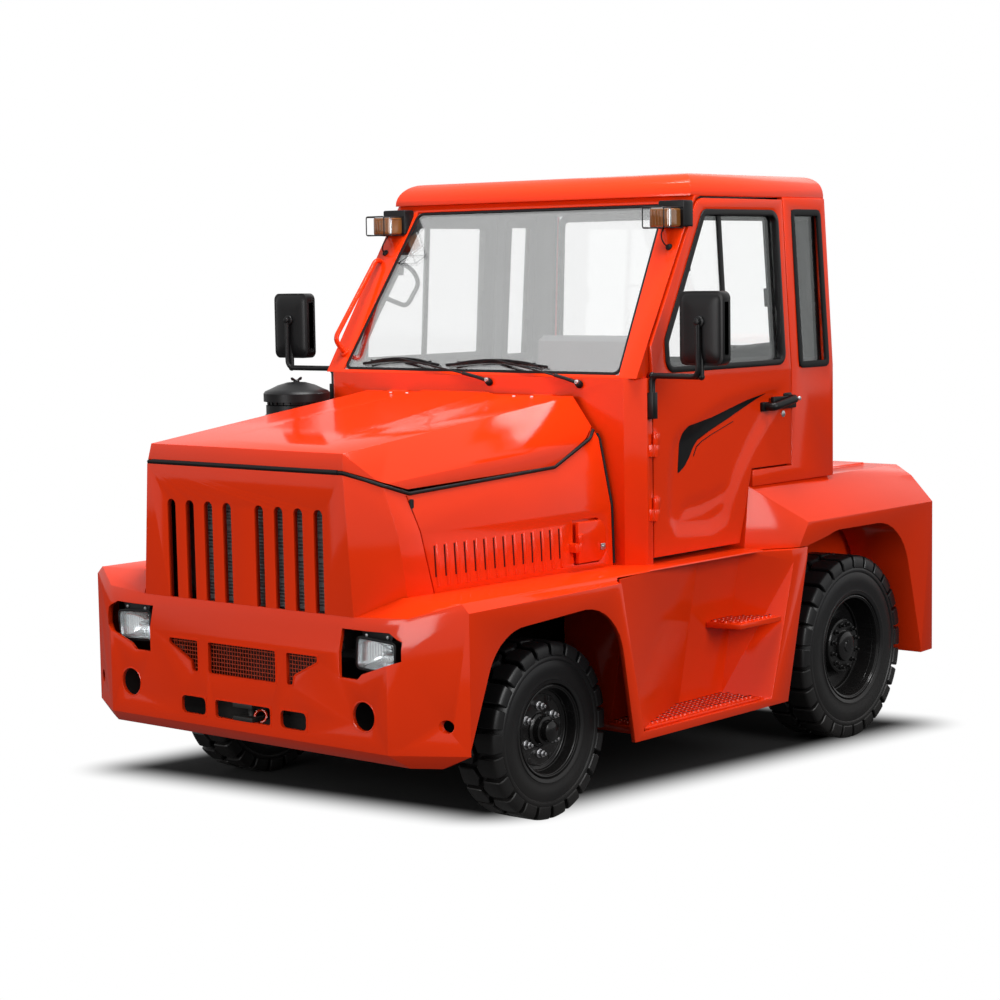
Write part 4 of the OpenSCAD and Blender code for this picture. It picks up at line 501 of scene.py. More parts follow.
def softOutline(corners, radius, steps=5):
    # an outline in a plane, with its corners rounded
    pts = [Vector((*c, 0)) for c in corners]
    out = []
    for i, b in enumerate(pts):
        u, v = pts[i - 1] - b, pts[(i + 1) % len(pts)] - b
        cut = min(radius, u.length * 0.45, v.length * 0.45)
        p, q = b + u.normalized() * cut, b + v.normalized() * cut
        for k in range(steps + 1):
            w = p.lerp(b, k / steps).lerp(b.lerp(q, k / steps), k / steps)
            out.append((w.x, w.y))
    return out


def insetOutline(corners, inset):
    pts = [Vector(c) for c in corners]
    turn = sum(a.x * b.y - b.x * a.y for a, b in zip(pts, pts[1:] + pts[:1]))
    sign = 1 if turn > 0 else -1
    out = []
    for i, b in enumerate(pts):
        u, v = (b - pts[i - 1]).normalized(), (pts[(i + 1) % len(pts)] - b).normalized()
        nu, nv = sign * Vector((-u.y, u.x)), sign * Vector((-v.y, v.x))
        m = nu + nv
        out.append(tuple(b + m * (inset / max(0.2, m.dot(nu)))))
    return out


def addLoops(bm, rows):
    # closed rows of points, each joined to the next
    loops = []
    for row in rows:
        verts = [bm.verts.new(p) for p in row]
        loops.append([bm.edges.new((verts[i - 1], verts[i])) for i in range(len(verts))])
    faces = []
    for a, b in zip(loops, loops[1:]):
        faces += bmesh.ops.bridge_loops(bm, edges=a + b)["faces"]
    return loops, faces


def addBand(bm, corners, inset, depth, place, radius=0.04, soft=0.0015, inner=None):
    # a flat frame: the outline and a smaller copy of it, joined and pushed out
    part = bmesh.new()
    within = softOutline(insetOutline(corners, inset), inner or max(0.004, radius - inset))
    faces = addLoops(part, [[(x, y, 0) for x, y in pts] for pts in (softOutline(corners, radius), within)])[1]
    made = bmesh.ops.extrude_face_region(part, geom=faces)["geom"]
    bmesh.ops.translate(part, vec=(0, 0, depth), verts=vertsIn(made))
    bmesh.ops.recalc_face_normals(part, faces=part.faces)
    if soft:
        roundEdges(part, sharpEdges(part, 60), soft)
    joinInto(bm, part, place)


def treeOf(*names):
    bm = bmesh.new()
    for n in names:
        bm.from_mesh(nodes[n].data)
    tree = BVHTree.FromBMesh(bm)
    bm.free()
    return tree


def sideHit(tree, x, z):
    # where a line from the far left first meets the pieces
    return tree.ray_cast(Vector((x, 2.0, z)), Vector((0, -1, 0)))[0]


# folded and pressed panels: the solid's edges are rounded and shaded softly
trimmed = {"bumper": 0.2768}     # what lies below this height is cut away
cabShell = ("door_left", "door_right", "cab_quarters", "cab_back", "cab_roof", "screen_frame")
panels = {"bumper": 0.0025, "nose_panel": 0.004, "hood": 0.009, "side_covers": 0.004, "fuel_flap": 0.003,
          "side_bodies": 0.006, "rear_fenders": 0.018, "rear_body": 0.006, "cab_cowl": 0.005,
          "screen_frame": 0.005, "cab_roof": 0.010, "cab_quarters": 0.004, "cab_back": 0.004,
          "door_left": 0.005, "door_right": 0.005, "step_treads": 0.003, "tow_jaw": 0.006, "mirrors": 0.006,
          "door_trim_left": 0.003, "door_trim_right": 0.003, "chassis_frame": 0.004, "engine_block": 0.012,
          "front_axle": 0.005, "knuckle_left": 0.004, "knuckle_right": 0.004, "rear_axle": 0.005,
          "cab_floor": 0.004, "dashboard": 0.024, "seat_bases": 0.008, "tow_pin": 0.003,
          "front_wheel_left": 0.003, "front_wheel_right": 0.003, "rear_wheel_left": 0.003,
          "rear_wheel_right": 0.003}
panelShade = 30


def softPanel(name, width):
    bm = bmesh.new()
    bm.from_mesh(nodes[name].data)
    bmesh.ops.remove_doubles(bm, verts=bm.verts, dist=2e-5)
    bmesh.ops.dissolve_limit(bm, angle_limit=math.radians(0.5), verts=bm.verts, edges=bm.edges)
    if name in trimmed:
        cut = bmesh.ops.bisect_plane(bm, geom=bm.verts[:] + bm.edges[:] + bm.faces[:],
                                     plane_co=(0, 0, trimmed[name]), plane_no=(0, 0, -1), clear_outer=True)
        bmesh.ops.holes_fill(bm, edges=edgesIn(cut["geom_cut"]))
    roundEdges(bm, sharpEdges(bm, 24), width)
    mat = finishes["cabPaint"] if name in cabShell else None
    addPiece(name + "Soft", bm, slotOf[name], bodyOf[name], mat=mat, smooth=panelShade, stands=(name,))


for name, width in panels.items():
    softPanel(name, width)
print("panels rounded:", len(panels))

# tyres: a spun carcass with two rows of staggered lugs
tyres = {"front": {"x": 0.907, "y": 0.648, "r": 0.297, "w": 0.176, "rim": 0.1555, "lugs": 22, "root": 0.250,
                   "deep": 0.020, "fill": 0.80},
         "rear": {"x": -0.837, "y": 0.711, "r": 0.353, "w": 0.216, "rim": 0.2005, "lugs": 26, "root": 0.303,
                  "deep": 0.022, "fill": 0.82}}


def makeLug(d):
    half, r, root, bed = d["w"] / 2, d["r"], d["root"], d["r"] - d["deep"] - 0.006
    wide = 2 * math.pi / d["lugs"] * d["fill"]
    lug = bmesh.new()
    section = [(root - 0.002, half - 0.006), (root + 0.004, half - 0.0005), (r - 0.020, half - 0.001),
               (r - 0.004, half - 0.007), (r - 0.0005, half - 0.020), (r, 0.034), (r, 0.016), (bed, 0.012),
               (bed, half - 0.050), (root + 0.006, half - 0.022)]
    face = lug.faces.new([lug.verts.new((a, 0, b)) for a, b in section])
    bmesh.ops.rotate(lug, cent=(0, 0, 0), matrix=Matrix.Rotation(-wide / 2, 3, "Z"), verts=lug.verts)
    for step in range(4):
        made = bmesh.ops.extrude_face_region(lug, geom=[face])["geom"]
        bmesh.ops.rotate(lug, cent=(0, 0, 0), matrix=Matrix.Rotation(wide / 4, 3, "Z"), verts=vertsIn(made))
        if step:
            bmesh.ops.delete(lug, geom=[face], context="FACES_ONLY")
        face = facesIn(made)[0]
    # the inner end comes to a blunt point
    for v in lug.verts:
        if v.co.z < 0.02:
            v.co.z -= 0.014 * (1 - abs(math.atan2(v.co.y, v.co.x)) / (wide / 2))
    bmesh.ops.recalc_face_normals(lug, faces=lug.faces)
    roundEdges(lug, sharpEdges(lug, 50), 0.003, 1)
    mesh = bpy.data.meshes.new("lug")
    lug.to_mesh(mesh)
    lug.free()
    return mesh


def makeTyre(kind, label, side):
    d = tyres[kind]
    half, r, rim, root, bed = d["w"] / 2, d["r"], d["rim"], d["root"], d["r"] - d["deep"]
    wall = root - rim
    outer = [(rim, half - 0.013), (rim + 0.004, half - 0.005), (rim + 0.012, half - 0.002),
             (rim + 0.016, half - 0.001), (rim + 0.018, half - 0.004), (rim + 0.030, half - 0.0045),
             (rim + 0.45 * wall, half - 0.001), (rim + 0.72 * wall, half - 0.0025),
             (root - 0.016, half - 0.0055), (root - 0.013, half - 0.002), (root - 0.006, half - 0.001),
             (root, half - 0.003), (root + 0.012, half - 0.013), (bed - 0.004, half - 0.028),
             (bed, half - 0.045)]
    bm = bmesh.new()
    addSpin(bm, outer + [(a, -b) for a, b in reversed(outer)], Matrix.Identity(4), 72, loop=True)
    lug = makeLug(d)
    for row, late in ((1, 0), (-1, 0.5)):
        for k in range(d["lugs"]):
            part = bmesh.new()
            part.from_mesh(lug)
            turn = turned(2 * math.pi / d["lugs"] * (k + late))
            joinInto(bm, part, turn @ Matrix.Scale(row, 4, (0, 0, 1)))
    bpy.data.meshes.remove(lug)
    place = facing((d["x"], side * d["y"], r), (0, side, 0))
    bmesh.ops.transform(bm, matrix=place, verts=bm.verts)
    member = kind + "_tyre_" + label
    addPiece(kind + "Tyre" + label.title(), bm, "tyre", bodyOf[member], smooth=28, stands=(member,))


for kind in tyres:
    for label, side in leftRight:
        makeTyre(kind, label, side)
print("tyres made")

# wheel fittings: bright nuts in front, a ring of studs on the drive hubs
wheelFit = {"front": {"x": 0.907, "z": 0.297, "disc": 0.6818, "nuts": 6, "ring": 0.080,
                      "nut": ((0, 0.0165, 0.0155, 0.003, 20, 0.0008),
                              (0.003, 0.0125, 0.0125, 0.014, 6, 0.0012),
                              (0.016, 0.0065, 0.006, 0.012, 12, 0.001)),
                      "cap": [(0, 0.062), (0.0259, 0.061), (0.03441, 0.056), (0.037, 0.048), (0.037, 0.014),
                              (0.043, 0.012), (0.053, 0.010), (0.057, 0.006), (0.058, 0.0)], "capSteps": 40,
                      "rings": ((0.1505, 0.0447, 0.0036), (0.137, 0.007, 0.0035), (0.118, 0.0, 0.003))},
            "rear": {"x": -0.837, "z": 0.353, "disc": 0.7688, "nuts": 12, "ring": 0.084,
                     "nut": ((0, 0.0105, 0.0105, 0.010, 6, 0.001), (0.009, 0.0055, 0.005, 0.014, 10, 0.001)),
                     "cap": [(0, 0.026), (0.020, 0.026), (0.022, 0.022), (0.0464, 0.022), (0.05568, 0.018),
                             (0.058, 0.012), (0.058, 0.004), (0.062, 0.003), (0.098, 0.003), (0.102, 0.0)],
                     "capSteps": 48,
                     "rings": ((0.1955, 0.0405, 0.0036), (0.1885, 0.017, 0.003), (0.176, -0.044, 0.004))},
            "outer": 0.112}


def makeWheelFit(kind, label, side):
    d = wheelFit[kind]
    body = bodyOf[kind + "_wheel_" + label]
    base = facing((d["x"], side * d["disc"], d["z"]), (0, side, 0))
    bright, dark = bmesh.new(), bmesh.new()
    for k in range(d["nuts"]):
        at = base @ turned(2 * math.pi * (k + 0.5) / d["nuts"]) @ Matrix.Translation((d["ring"], 0, 0))
        for z, *sizes in d["nut"]:
            addDrum(bright if kind == "front" else dark, raised(at, z), *sizes)
    addSpin(dark, d["cap"], base, d["capSteps"])
    if kind == "front":
        for k in range(6):
            at = base @ turned(2 * math.pi * k / 6) @ Matrix.Translation((wheelFit["outer"], 0, 0))
            addDrum(dark, at, 0.011, 0.011, 0.0015, 16, 0.0005)
    else:
        at = base @ turned(2.4) @ Matrix.Translation((wheelFit["outer"], 0, -0.05))
        addDrum(bright, at, 0.007, 0.005, 0.03, 12, 0.001)
    for r, z, thick in d["rings"]:
        addRing(dark, r, z, thick, base, 64)
    addPiece(kind + "Nuts" + label.title(), bright, "steel", body)
    addPiece(kind + "Hub" + label.title(), dark, "rim", body)


for kind in tyres:
    for label, side in leftRight:
        makeWheelFit(kind, label, side)
print("wheel fittings made")

# rubber seals round the fixed panes
seals = {"screenAt": (0.413, 0, 1.445), "screen": (0.655, 0.590, 0.002, 0.6954),
         "quarter": (0.571, 0.776, -0.005, 0.585), "inset": 0.024, "back": (0.605, 0.580, 1.426, 2.032)}


def makeSeals():
    bm = bmesh.new()
    at = Vector(seals["screenAt"]) - 0.002 * Vector(screenNormal)
    addBand(bm, tapered(*seals["screen"]), 0.011, 0.005, facing(at, screenNormal), 0.035)
    lean = Vector(sideLean)
    at = Vector((0, *cabBelt)) - 0.004 * lean
    for flip in flips.values():
        addBand(bm, oblong(*seals["quarter"]), seals["inset"], 0.010, flip @ facing(at, lean), 0.03)
    addBand(bm, tapered(*seals["back"]), 0.03, 0.012, facing((-0.803, 0, 0), backward), 0.05)
    addPiece("windowSeals", bm, "trim", "chassis", mat=rubber)


makeSeals()

# rubber bead under the hood's edge, found on the covers themselves
bead = {"line": [(1.490, 1.143), (1.390, 1.111), (0.705, 1.146), (0.509, 1.226), (0.462, 1.259)], "up": 0.004,
        "front": (1.582, 1.183), "frontHalf": 0.452, "r": 0.0062, "lipR": 0.0088, "lipPitch": 0.0864}


def makeBead():
    tree = treeOf("nose_panel", "side_covers", "hood")
    bm = bmesh.new()
    side = []
    for (x0, z0), (x1, z1) in zip(bead["line"], bead["line"][1:]):
        for k in range(10):
            x, z = between((x0, x1), k / 10), between((z0, z1), k / 10)
            hit = sideHit(tree, x, z - 0.006)
            if hit is not None:
                side.append(Vector((x, hit.y - 0.003, z + bead["up"])))
    x, z = bead["front"]
    wide = bead["frontHalf"]
    half = [Vector((x - 0.004, wide * k / 6, z + 0.007)) for k in range(7)] + side
    addTube(bm, [Vector((p.x, -p.y, p.z)) for p in reversed(half[1:])] + half, bead["r"], 8)
    lip = [Vector((x - 0.005, 0.02 - wide + k * bead["lipPitch"], z + 0.008)) for k in range(11)]
    addTube(bm, lip, bead["lipR"], 8)
    addPiece("hoodBead", bm, "trim", "chassis", mat=rubber)


makeBead()
print("seals made")

# doors: a pressed panel and a black flash
door = {"y": 0.745, "grid": 0.018, "deep": 0.011, "edge": 0.055, "lensDeep": 0.006, "lensEdge": 0.03,
        "press": [(-0.470, 1.378), (-0.295, 1.374), (-0.120, 1.353), (0.016, 1.316), (0.117, 1.273),
                  (0.199, 1.259), (0.250, 1.205), (0.272, 1.073), (0.272, 0.939), (0.221, 0.872),
                  (-0.012, 0.859),
                  (-0.110, 0.890), (-0.150, 0.977), (-0.205, 1.062), (-0.290, 1.160), (-0.400, 1.260),
                  (-0.470, 1.320)],
        "lens": [(0.225, 0.935), (0.137, 1.004), (-0.014, 1.021), (-0.160, 1.045), (-0.099, 0.984),
                 (0.02, 0.945)],
        "flash": [(-0.361, 1.350), (-0.242, 1.331), (-0.120, 1.303), (-0.017, 1.280), (0.084, 1.266),
                  (0.134, 1.260), (0.164, 1.238), (0.179, 1.200), (0.184, 1.152), (0.190, 1.093),
                  (0.149, 1.116),
                  (0.119, 1.148), (0.093, 1.185), (0.060, 1.212), (-0.016, 1.236), (-0.119, 1.269),
                  (-0.242, 1.311)],
        "line": [(0.095, 1.150), (0.076, 1.183), (0.044, 1.200), (-0.016, 1.220), (-0.154, 1.259),
                 (-0.154, 1.2565), (-0.016, 1.217), (0.042, 1.197), (0.073, 1.180), (0.091, 1.149)],
        "rounds": {"flash": 0.012, "line": 0.0004}, "thick": 0.0012}
flashBlack = finish("flashBlack", (0.004, 0.004, 0.0045), 0.35, grain=(300, 0.2), bump=0.02, dust=(0.2, 0.0),
                    spec=0.12)


def depthInside(poly, x, z):
    # distance from the outline, more than 0 inside it
    near, inside = 1e9, False
    for (ax, az), (bx, bz) in zip(poly, poly[1:] + poly[:1]):
        ex, ez = bx - ax, bz - az
        t = max(0.0, min(1.0, ((x - ax) * ex + (z - az) * ez) / (ex * ex + ez * ez)))
        near = min(near, math.hypot(x - ax - t * ex, z - az - t * ez))
        if (az > z) != (bz > z) and x < (bx - ax) * (z - az) / (bz - az) + ax:
            inside = not inside
    return near if inside else -near


def pressDepth(x, z):
    deep = 0.0
    for outline, most, edge in (("press", "deep", "edge"), ("lens", "lensDeep", "lensEdge")):
        k = max(0.0, min(1.0, depthInside(door[outline], x, z) / door[edge]))
        deep += door[most] * k * k * (3 - 2 * k)
    return deep


def gridCut(bm, faces):
    corners = [v.co.copy() for f in faces for v in f.verts]
    for axis, normal in ((0, Vector(forward)), (2, Vector((0, 0, 1)))):
        at = min(c[axis] for c in corners) + door["grid"]
        while at < max(c[axis] for c in corners):
            geom = set(faces)
            for f in faces:
                geom.update(f.edges)
                geom.update(f.verts)
            out = bmesh.ops.bisect_plane(bm, geom=list(geom), dist=1e-6, plane_co=normal * at,
                                         plane_no=normal)
            faces = facesIn(out["geom"])
            at += door["grid"]
    return faces


def pressDoor(label, side):
    obj = bpy.data.objects["door_" + label + "Soft"]
    bm = bmesh.new()
    bm.from_mesh(obj.data)
    skin = [f for f in bm.faces if f.normal.y * side > 0.999 and f.calc_area() > 0.05
            and abs(f.calc_center_median().y) > door["y"] - 0.002]
    for v in {v for f in gridCut(bm, skin) for v in f.verts}:
        if abs(abs(v.co.y) - door["y"]) < 0.0015:
            v.co.y -= side * pressDepth(v.co.x, v.co.z)
    bm.to_mesh(obj.data)
    bm.free()
    obj.data.shade_smooth()
    obj.data.set_sharp_from_angle(angle=math.radians(panelShade))
    bm = bmesh.new()
    for name, radius in door["rounds"].items():
        part = bmesh.new()
        face = part.faces.new([part.verts.new((x, 0, z)) for x, z in softOutline(door[name], radius, 3)])
        bmesh.ops.triangulate(part, faces=[face])
        gridCut(part, list(part.faces))
        made = bmesh.ops.extrude_face_region(part, geom=list(part.faces))["geom"]
        bmesh.ops.translate(part, vec=(0, door["thick"], 0), verts=vertsIn(made))
        bmesh.ops.recalc_face_normals(part, faces=part.faces)
        for v in part.verts:
            v.co.y += door["y"] - 0.0002 - pressDepth(v.co.x, v.co.z)
        joinInto(bm, part, flips[side])
    addPiece("doorFlash" + label.title(), bm, "trim", bodyOf["door_" + label], mat=flashBlack)


for label, side in leftRight:
    pressDoor(label, side)
print("doors pressed")

# door pulls with their buttons and locks
pull = {"a": (-0.350, 1.300), "b": (-0.490, 1.325), "out": 0.046, "r": 0.011, "lock": (-0.462, 1.268)}


def makePull(label, side):
    (ax, az), (bx, bz), (lx, lz) = pull["a"], pull["b"], pull["lock"]
    y = door["y"]
    out = y + pull["out"]
    body = bodyOf["door_" + label]
    bar, button = bmesh.new(), bmesh.new()
    line = roundedPath([(ax, y - 0.012, az), (ax, out - 0.006, az), (bx, out, bz), (bx, y - 0.002, bz)],
                       0.022)
    addTube(bar, line, pull["r"], 12, flat=1.3)
    addPrism(bar, softOutline(box(0.026, 0.020), 0.01), 0.007, 0.002, facing((bx, y - 0.001, bz), across))
    addPrism(bar, softOutline(box(0.022, 0.017), 0.009), 0.014, 0.002, facing((ax, y - 0.012, az), across))
    addDrum(button, facing((bx, out + 0.006, bz), across), 0.009, 0.008, 0.006, 20, 0.0015)
    addDrum(button, facing((lx, y - 0.001, lz), across), 0.012, 0.012, 0.004, 24, 0.001)
    for name, part, slot in (("doorPull", bar, "trim"), ("pullButton", button, "steel")):
        bm = bmesh.new()
        joinInto(bm, part, flips[side])
        addPiece(name + label.title(), bm, slot, body)


for label, side in leftRight:
    makePull(label, side)

# headlamps: a black shell, a bright bowl, a fluted lens and the plate above
lampSet = {"y": 0.564, "z": 0.622, "wide": 0.178, "high": 0.116, "front": 1.564, "bar": 1.430,
           "flutes": 0.0115,
           "bowl": ((1.0, -0.004), (0.96, -0.016), (0.86, -0.030), (0.66, -0.044), (0.40, -0.052),
                    (0.20, -0.055))}
finishes["reflector"] = finish("lampBowl", (0.46, 0.47, 0.48), 0.2, metal=1.0, grain=(60, 0.6), bump=0.05,
                               dust=clean)
finishes["lens"] = makeGlass("lampLens", (0.97, 0.98, 0.98), ior=1.3, rough=0.02)


def makeBowl(outline):
    part = bmesh.new()
    loops = addLoops(part, [[(x * k, y * k, z) for x, y in outline] for k, z in lampSet["bowl"]])[0]
    bmesh.ops.holes_fill(part, edges=loops[-1], sides=0)
    bmesh.ops.recalc_face_normals(part, faces=part.faces)
    if sum(f.normal.z * f.calc_area() for f in part.faces) < 0:
        bmesh.ops.reverse_faces(part, faces=part.faces)
    addDrum(part, Matrix.Translation((0, 0, -0.054)), 0.009, 0.007, 0.026, 16, 0.002)
    return part


def makeHeadlamps():
    shell, bowl, lens, bolts = bmesh.new(), bmesh.new(), bmesh.new(), bmesh.new()
    w, h = lampSet["wide"] / 2, lampSet["high"] / 2
    front, y, z, pitch = lampSet["front"], lampSet["y"], lampSet["z"], lampSet["flutes"]
    base = facing((front, y, z), forward)
    shape = [(-w, -h * 0.86), (w * 0.9, -h), (w, h * 0.82), (-w * 0.92, h)]
    hood = softOutline([(-0.058, -0.02), (0.058, -0.02), (0.07, 0.012), (-0.07, 0.012)], 0.006)
    for flip in flips.values():
        part = bmesh.new()
        addBand(part, shape, 0.009, 0.060, raised(base, -0.060), 0.022)
        addPrism(part, softOutline(insetOutline(shape, 0.008), 0.02), 0.006, 0.002, raised(base, -0.064))
        addBlock(part, (lampSet["bar"], y - 0.022, z - 0.05), (front - 0.055, y + 0.022, z - 0.012), 0.003)
        addPrism(part, hood, 0.05, 0.002, facing((front - 0.062, y, z + h + 0.004), forward))
        joinInto(shell, part, flip)
        joinInto(bowl, makeBowl(softOutline(insetOutline(shape, 0.0095), 0.016)), flip @ base)
        part = bmesh.new()
        addPrism(part, softOutline(insetOutline(shape, 0.006), 0.019, 6), 0.007, 0.003, segments=3)
        for k in range(-5, 6):
            x = k * pitch
            addBlock(part, (x - 0.0008, -h * 0.72, -0.001), (x + 0.0008, h * 0.72, 0.001), 0.0003, 1)
        joinInto(lens, part, flip @ raised(base, -0.004))
        for dy in (-0.045, 0.045):
            at = facing((front - 0.012, y + dy, z + h + 0.002), forward)
            addDrum(bolts, flip @ at, 0.006, 0.0055, 0.005, 6, 0.0008)
    addPiece("headlampShells", shell, "lamp", "chassis", stands=("headlamps",))
    addPiece("headlampBowls", bowl, "lamp", "chassis", mat=finishes["reflector"])
    addPiece("headlampLenses", lens, "lamp", "chassis", mat=finishes["lens"])
    addPiece("headlampBolts", bolts, "steel", "chassis")


makeHeadlamps()

# woven wire behind the bumper's middle openings
wire = {"x": 1.589, "y": (-0.362, 0.362), "z": (0.484, 0.621), "pitch": 0.0125, "r": 0.0013}
# the wire's red paint is made darker and browner: partly its own colour, partly painted shade from lying
# behind the bumper
shadedMeshPaint = finish("shadedMeshPaint", (0.42, 0.045, 0.014), 0.4, grain=(200, 0.6), bump=0.05, spec=0.2)


def makeWire():
    bm = bmesh.new()
    x, r = wire["x"], wire["r"]
    n, m = [int((wire[k][1] - wire[k][0]) / wire["pitch"]) for k in "yz"]
    ys = [between(wire["y"], i / n) for i in range(n + 1)]
    zs = [between(wire["z"], j / m) for j in range(m + 1)]
    for i, y in enumerate(ys):
        addTube(bm, [(x + r * (1 if (i + j) % 2 else -1), y, z) for j, z in enumerate(zs)], r, 5)
    for j, z in enumerate(zs):
        addTube(bm, [(x - r * (1 if (i + j) % 2 else -1), y, z) for i, y in enumerate(ys)], r, 5)
    addPiece("bumperWire", bm, "frame_black", "chassis", mat=shadedMeshPaint, smooth=60, stands=("bumper_mesh",))


makeWire()
print("front made")


# panes: the sloping screen mirrors more of the white surround than the upright ones
def makePane(name, tint, alpha):
    mat, t, b = newMaterial(name)
    fill(t, b, {"Base Color": (*tint, 1), "Metallic": 1.0, "Roughness": 0.02, "Alpha": alpha})
    return mat


screenPane = makePane("screenPane", (0.95, 0.96, 0.96), 0.27)
clearPane = makePane("clearPane", (0.90, 0.94, 0.93), 0.08)


def makePanes():
    for name, front, mat, stands in (("screenGlass", True, screenPane, ("cab_glass",)),
                                     ("cabPanes", False, clearPane, ())):
        bm = bmesh.new()
        bm.from_mesh(nodes["cab_glass"].data)
        gone = [f for f in bm.faces if (f.calc_center_median().x > -0.3) != front]
        bmesh.ops.delete(bm, geom=gone, context="FACES")
        addPiece(name, bm, "glass", "chassis", mat=mat, stands=stands)
    for name in ("door_glass_left", "door_glass_right"):
        materials = nodes[name].data.materials
        materials.clear()
        materials.append(clearPane)


makePanes()

# mirrors: pillow-backed shells on bent tubes
mirror = {"y": 0.971, "z": (1.484, 1.733), "wide": 0.176, "back": 0.388, "front": 0.338, "round": 0.036,
          "foot": (0.363, 0.757), "bend": 1.446, "r": 0.0085,
          "rows": ((0.002, 0.0), (0.0, 0.003), (0.0, 0.026), (0.002, 0.032), (0.006, 0.037), (0.013, 0.041),
                   (0.024, 0.044), (0.040, 0.046), (0.060, 0.047))}


def makeMirrors():
    bm = bmesh.new()
    y, bend, mid = mirror["y"], mirror["bend"], sum(mirror["z"]) / 2
    w, h = mirror["wide"] / 2, (mirror["z"][1] - mirror["z"][0]) / 2
    fx, fy = mirror["foot"]
    x, z = mirror["back"] - 0.003, mid + 0.022
    for flip in flips.values():
        part, made = bmesh.new(), bmesh.new()
        rows = []
        for inset, rise in mirror["rows"]:
            outline = softOutline(box(w - inset, h - inset), max(0.012, mirror["round"] - inset * 0.6), 6)
            rows.append([(a, b, rise) for a, b in outline])
        loops = addLoops(made, rows)[0]
        for ring in (loops[0], loops[-1]):
            bmesh.ops.holes_fill(made, edges=ring, sides=0)
        bmesh.ops.recalc_face_normals(made, faces=made.faces)
        joinInto(part, made, facing((mirror["front"], y, mid), forward))
        addDrum(part, facing((x, y, z), forward), 0.021, 0.019, 0.008, 28, 0.002)
        addDrum(part, facing((x + 0.006, y, z), forward), 0.012, 0.011, 0.016, 20, 0.002)
        line = [(fx, fy, 1.335), (fx, fy, bend), (x + 0.012, y + 0.002, bend), (x + 0.012, y, z + 0.012)]
        addTube(part, roundedPath(line, 0.034, 6), mirror["r"], 12)
        addBlock(part, (fx - 0.020, 0.745, 1.298), (fx + 0.004, 0.757, 1.392), 0.003)
        addDrum(part, Matrix.Translation((fx, fy, 1.306)), 0.0125, 0.0125, 0.072, 18, 0.003)
        joinInto(bm, part, flip)
    addPiece("mirrorShells", bm, "trim", "chassis", stands=("mirrors",))


makeMirrors()

# wipers: pressed arms with framed blades
wiper = {"pivots": ((0.500, 0.092, (-0.146, 0.331)), (0.090, -0.375, (-0.561, -0.180))), "x": 0.447,
         "z": 1.417,
         "glass": (0.413, 1.445, 0.6237), "normal": (0.85, 0, 0.53), "top": 1.492, "blade": 1.470,
         "arch": 0.014,
         "links": (0.18, 0.34, 0.66, 0.82)}


def onScreen(y, z, lift):
    gx, gz, rake = wiper["glass"]
    return Vector((gx - (z - gz) * rake + lift, y, z))


def bladeZ(t):
    return wiper["blade"] + wiper["arch"] * math.sin(math.pi * t)


def makeWipers():
    arms, nuts = bmesh.new(), bmesh.new()
    x, z = wiper["x"], wiper["z"]
    for y, mid, reach in wiper["pivots"]:
        for into, dx, dz, *sizes in ((arms, -0.012, -0.006, 0.014, 0.012, 0.018, 20, 0.002),
                                     (nuts, 0.0035, 0.0035, 0.0085, 0.0085, 0.008, 6, 0.001),
                                     (nuts, 0.010, 0.0075, 0.005, 0.0045, 0.006, 12, 0.001)):
            addDrum(into, facing((x + dx, y, z + dz), wiper["normal"]), *sizes)
        top = onScreen(mid, wiper["top"], 0.020)
        root = Vector((x - 0.001, y, z + 0.002))
        knee = root.lerp(top, 0.26) + Vector((0.006, 0, 0.006))
        addTube(arms, [root, root.lerp(knee, 0.5) + Vector((0.002, 0, 0.002)), knee], 0.0105, 8, flat=0.6)
        addTube(arms, [knee - Vector((0, 0, 0.001)), knee.lerp(top, 0.5), top], 0.0055, 8, flat=0.6)
        edge = [onScreen(between(reach, k / 12), bladeZ(k / 12), 0.0075) for k in range(13)]
        addTube(arms, edge, 0.0032, 6, flat=1.6)
        bow = []
        for k in range(9):
            t = 0.08 + 0.84 * k / 8
            rise = 0.008 * math.sin(math.pi * k / 8) ** 0.5
            bow.append(onScreen(between(reach, t), bladeZ(t) + rise, 0.015))
        addTube(arms, bow, 0.0040, 6)
        for t in wiper["links"]:
            low, at = bladeZ(t), between(reach, t)
            foot = onScreen(at, low, 0.011) + Vector((0, 0, 0.001))
            addTube(arms, [onScreen(at - 0.03, low + 0.006, 0.015), foot,
                           onScreen(at + 0.03, low + 0.006, 0.015)], 0.0028, 6)
    addPiece("wiperArms", arms, "trim", "chassis", stands=("wipers",))
    addPiece("wiperNuts", nuts, "steel", "chassis")


makeWipers()

# work lamps: black boxes, amber lenses, wire guards and a short lead to the pillar
workLamp = {"y": 0.660, "z": 2.000, "back": (0.058, 0.112), "wide": 0.056, "high": 0.047,
            "lens": (0.112, 0.186),
            "small": (0.041, 0.032), "guard": (0.046, 0.036), "guardOut": 0.108, "ribs": 0.014,
            "lead": [(0.150, 0.655, 1.950), (0.166, 0.657, 1.932), (0.174, 0.664, 1.912),
                     (0.166, 0.671, 1.893), (0.150, 0.675, 1.884)], "leadR": 0.0026}
amber = finish("amberLens", (0.20, 0.075, 0.018), 0.12, coat=0.7, grain=(160, 0.8), bump=0.06, dust=clean,
               mottle=0.25)


def smoothLine(points, steps=6):
    pts = [Vector(p) for p in points]
    out = []
    for i in range(len(pts) - 1):
        p0, p1, p2, p3 = pts[max(0, i - 1)], pts[i], pts[i + 1], pts[min(len(pts) - 1, i + 2)]
        for k in range(steps):
            t = k / steps
            out.append(0.5 * (2 * p1 + (p2 - p0) * t + (2 * p0 - 5 * p1 + 4 * p2 - p3) * t * t
                              + (3 * p1 - p0 - 3 * p2 + p3) * t ** 3))
    return out + [pts[-1]]


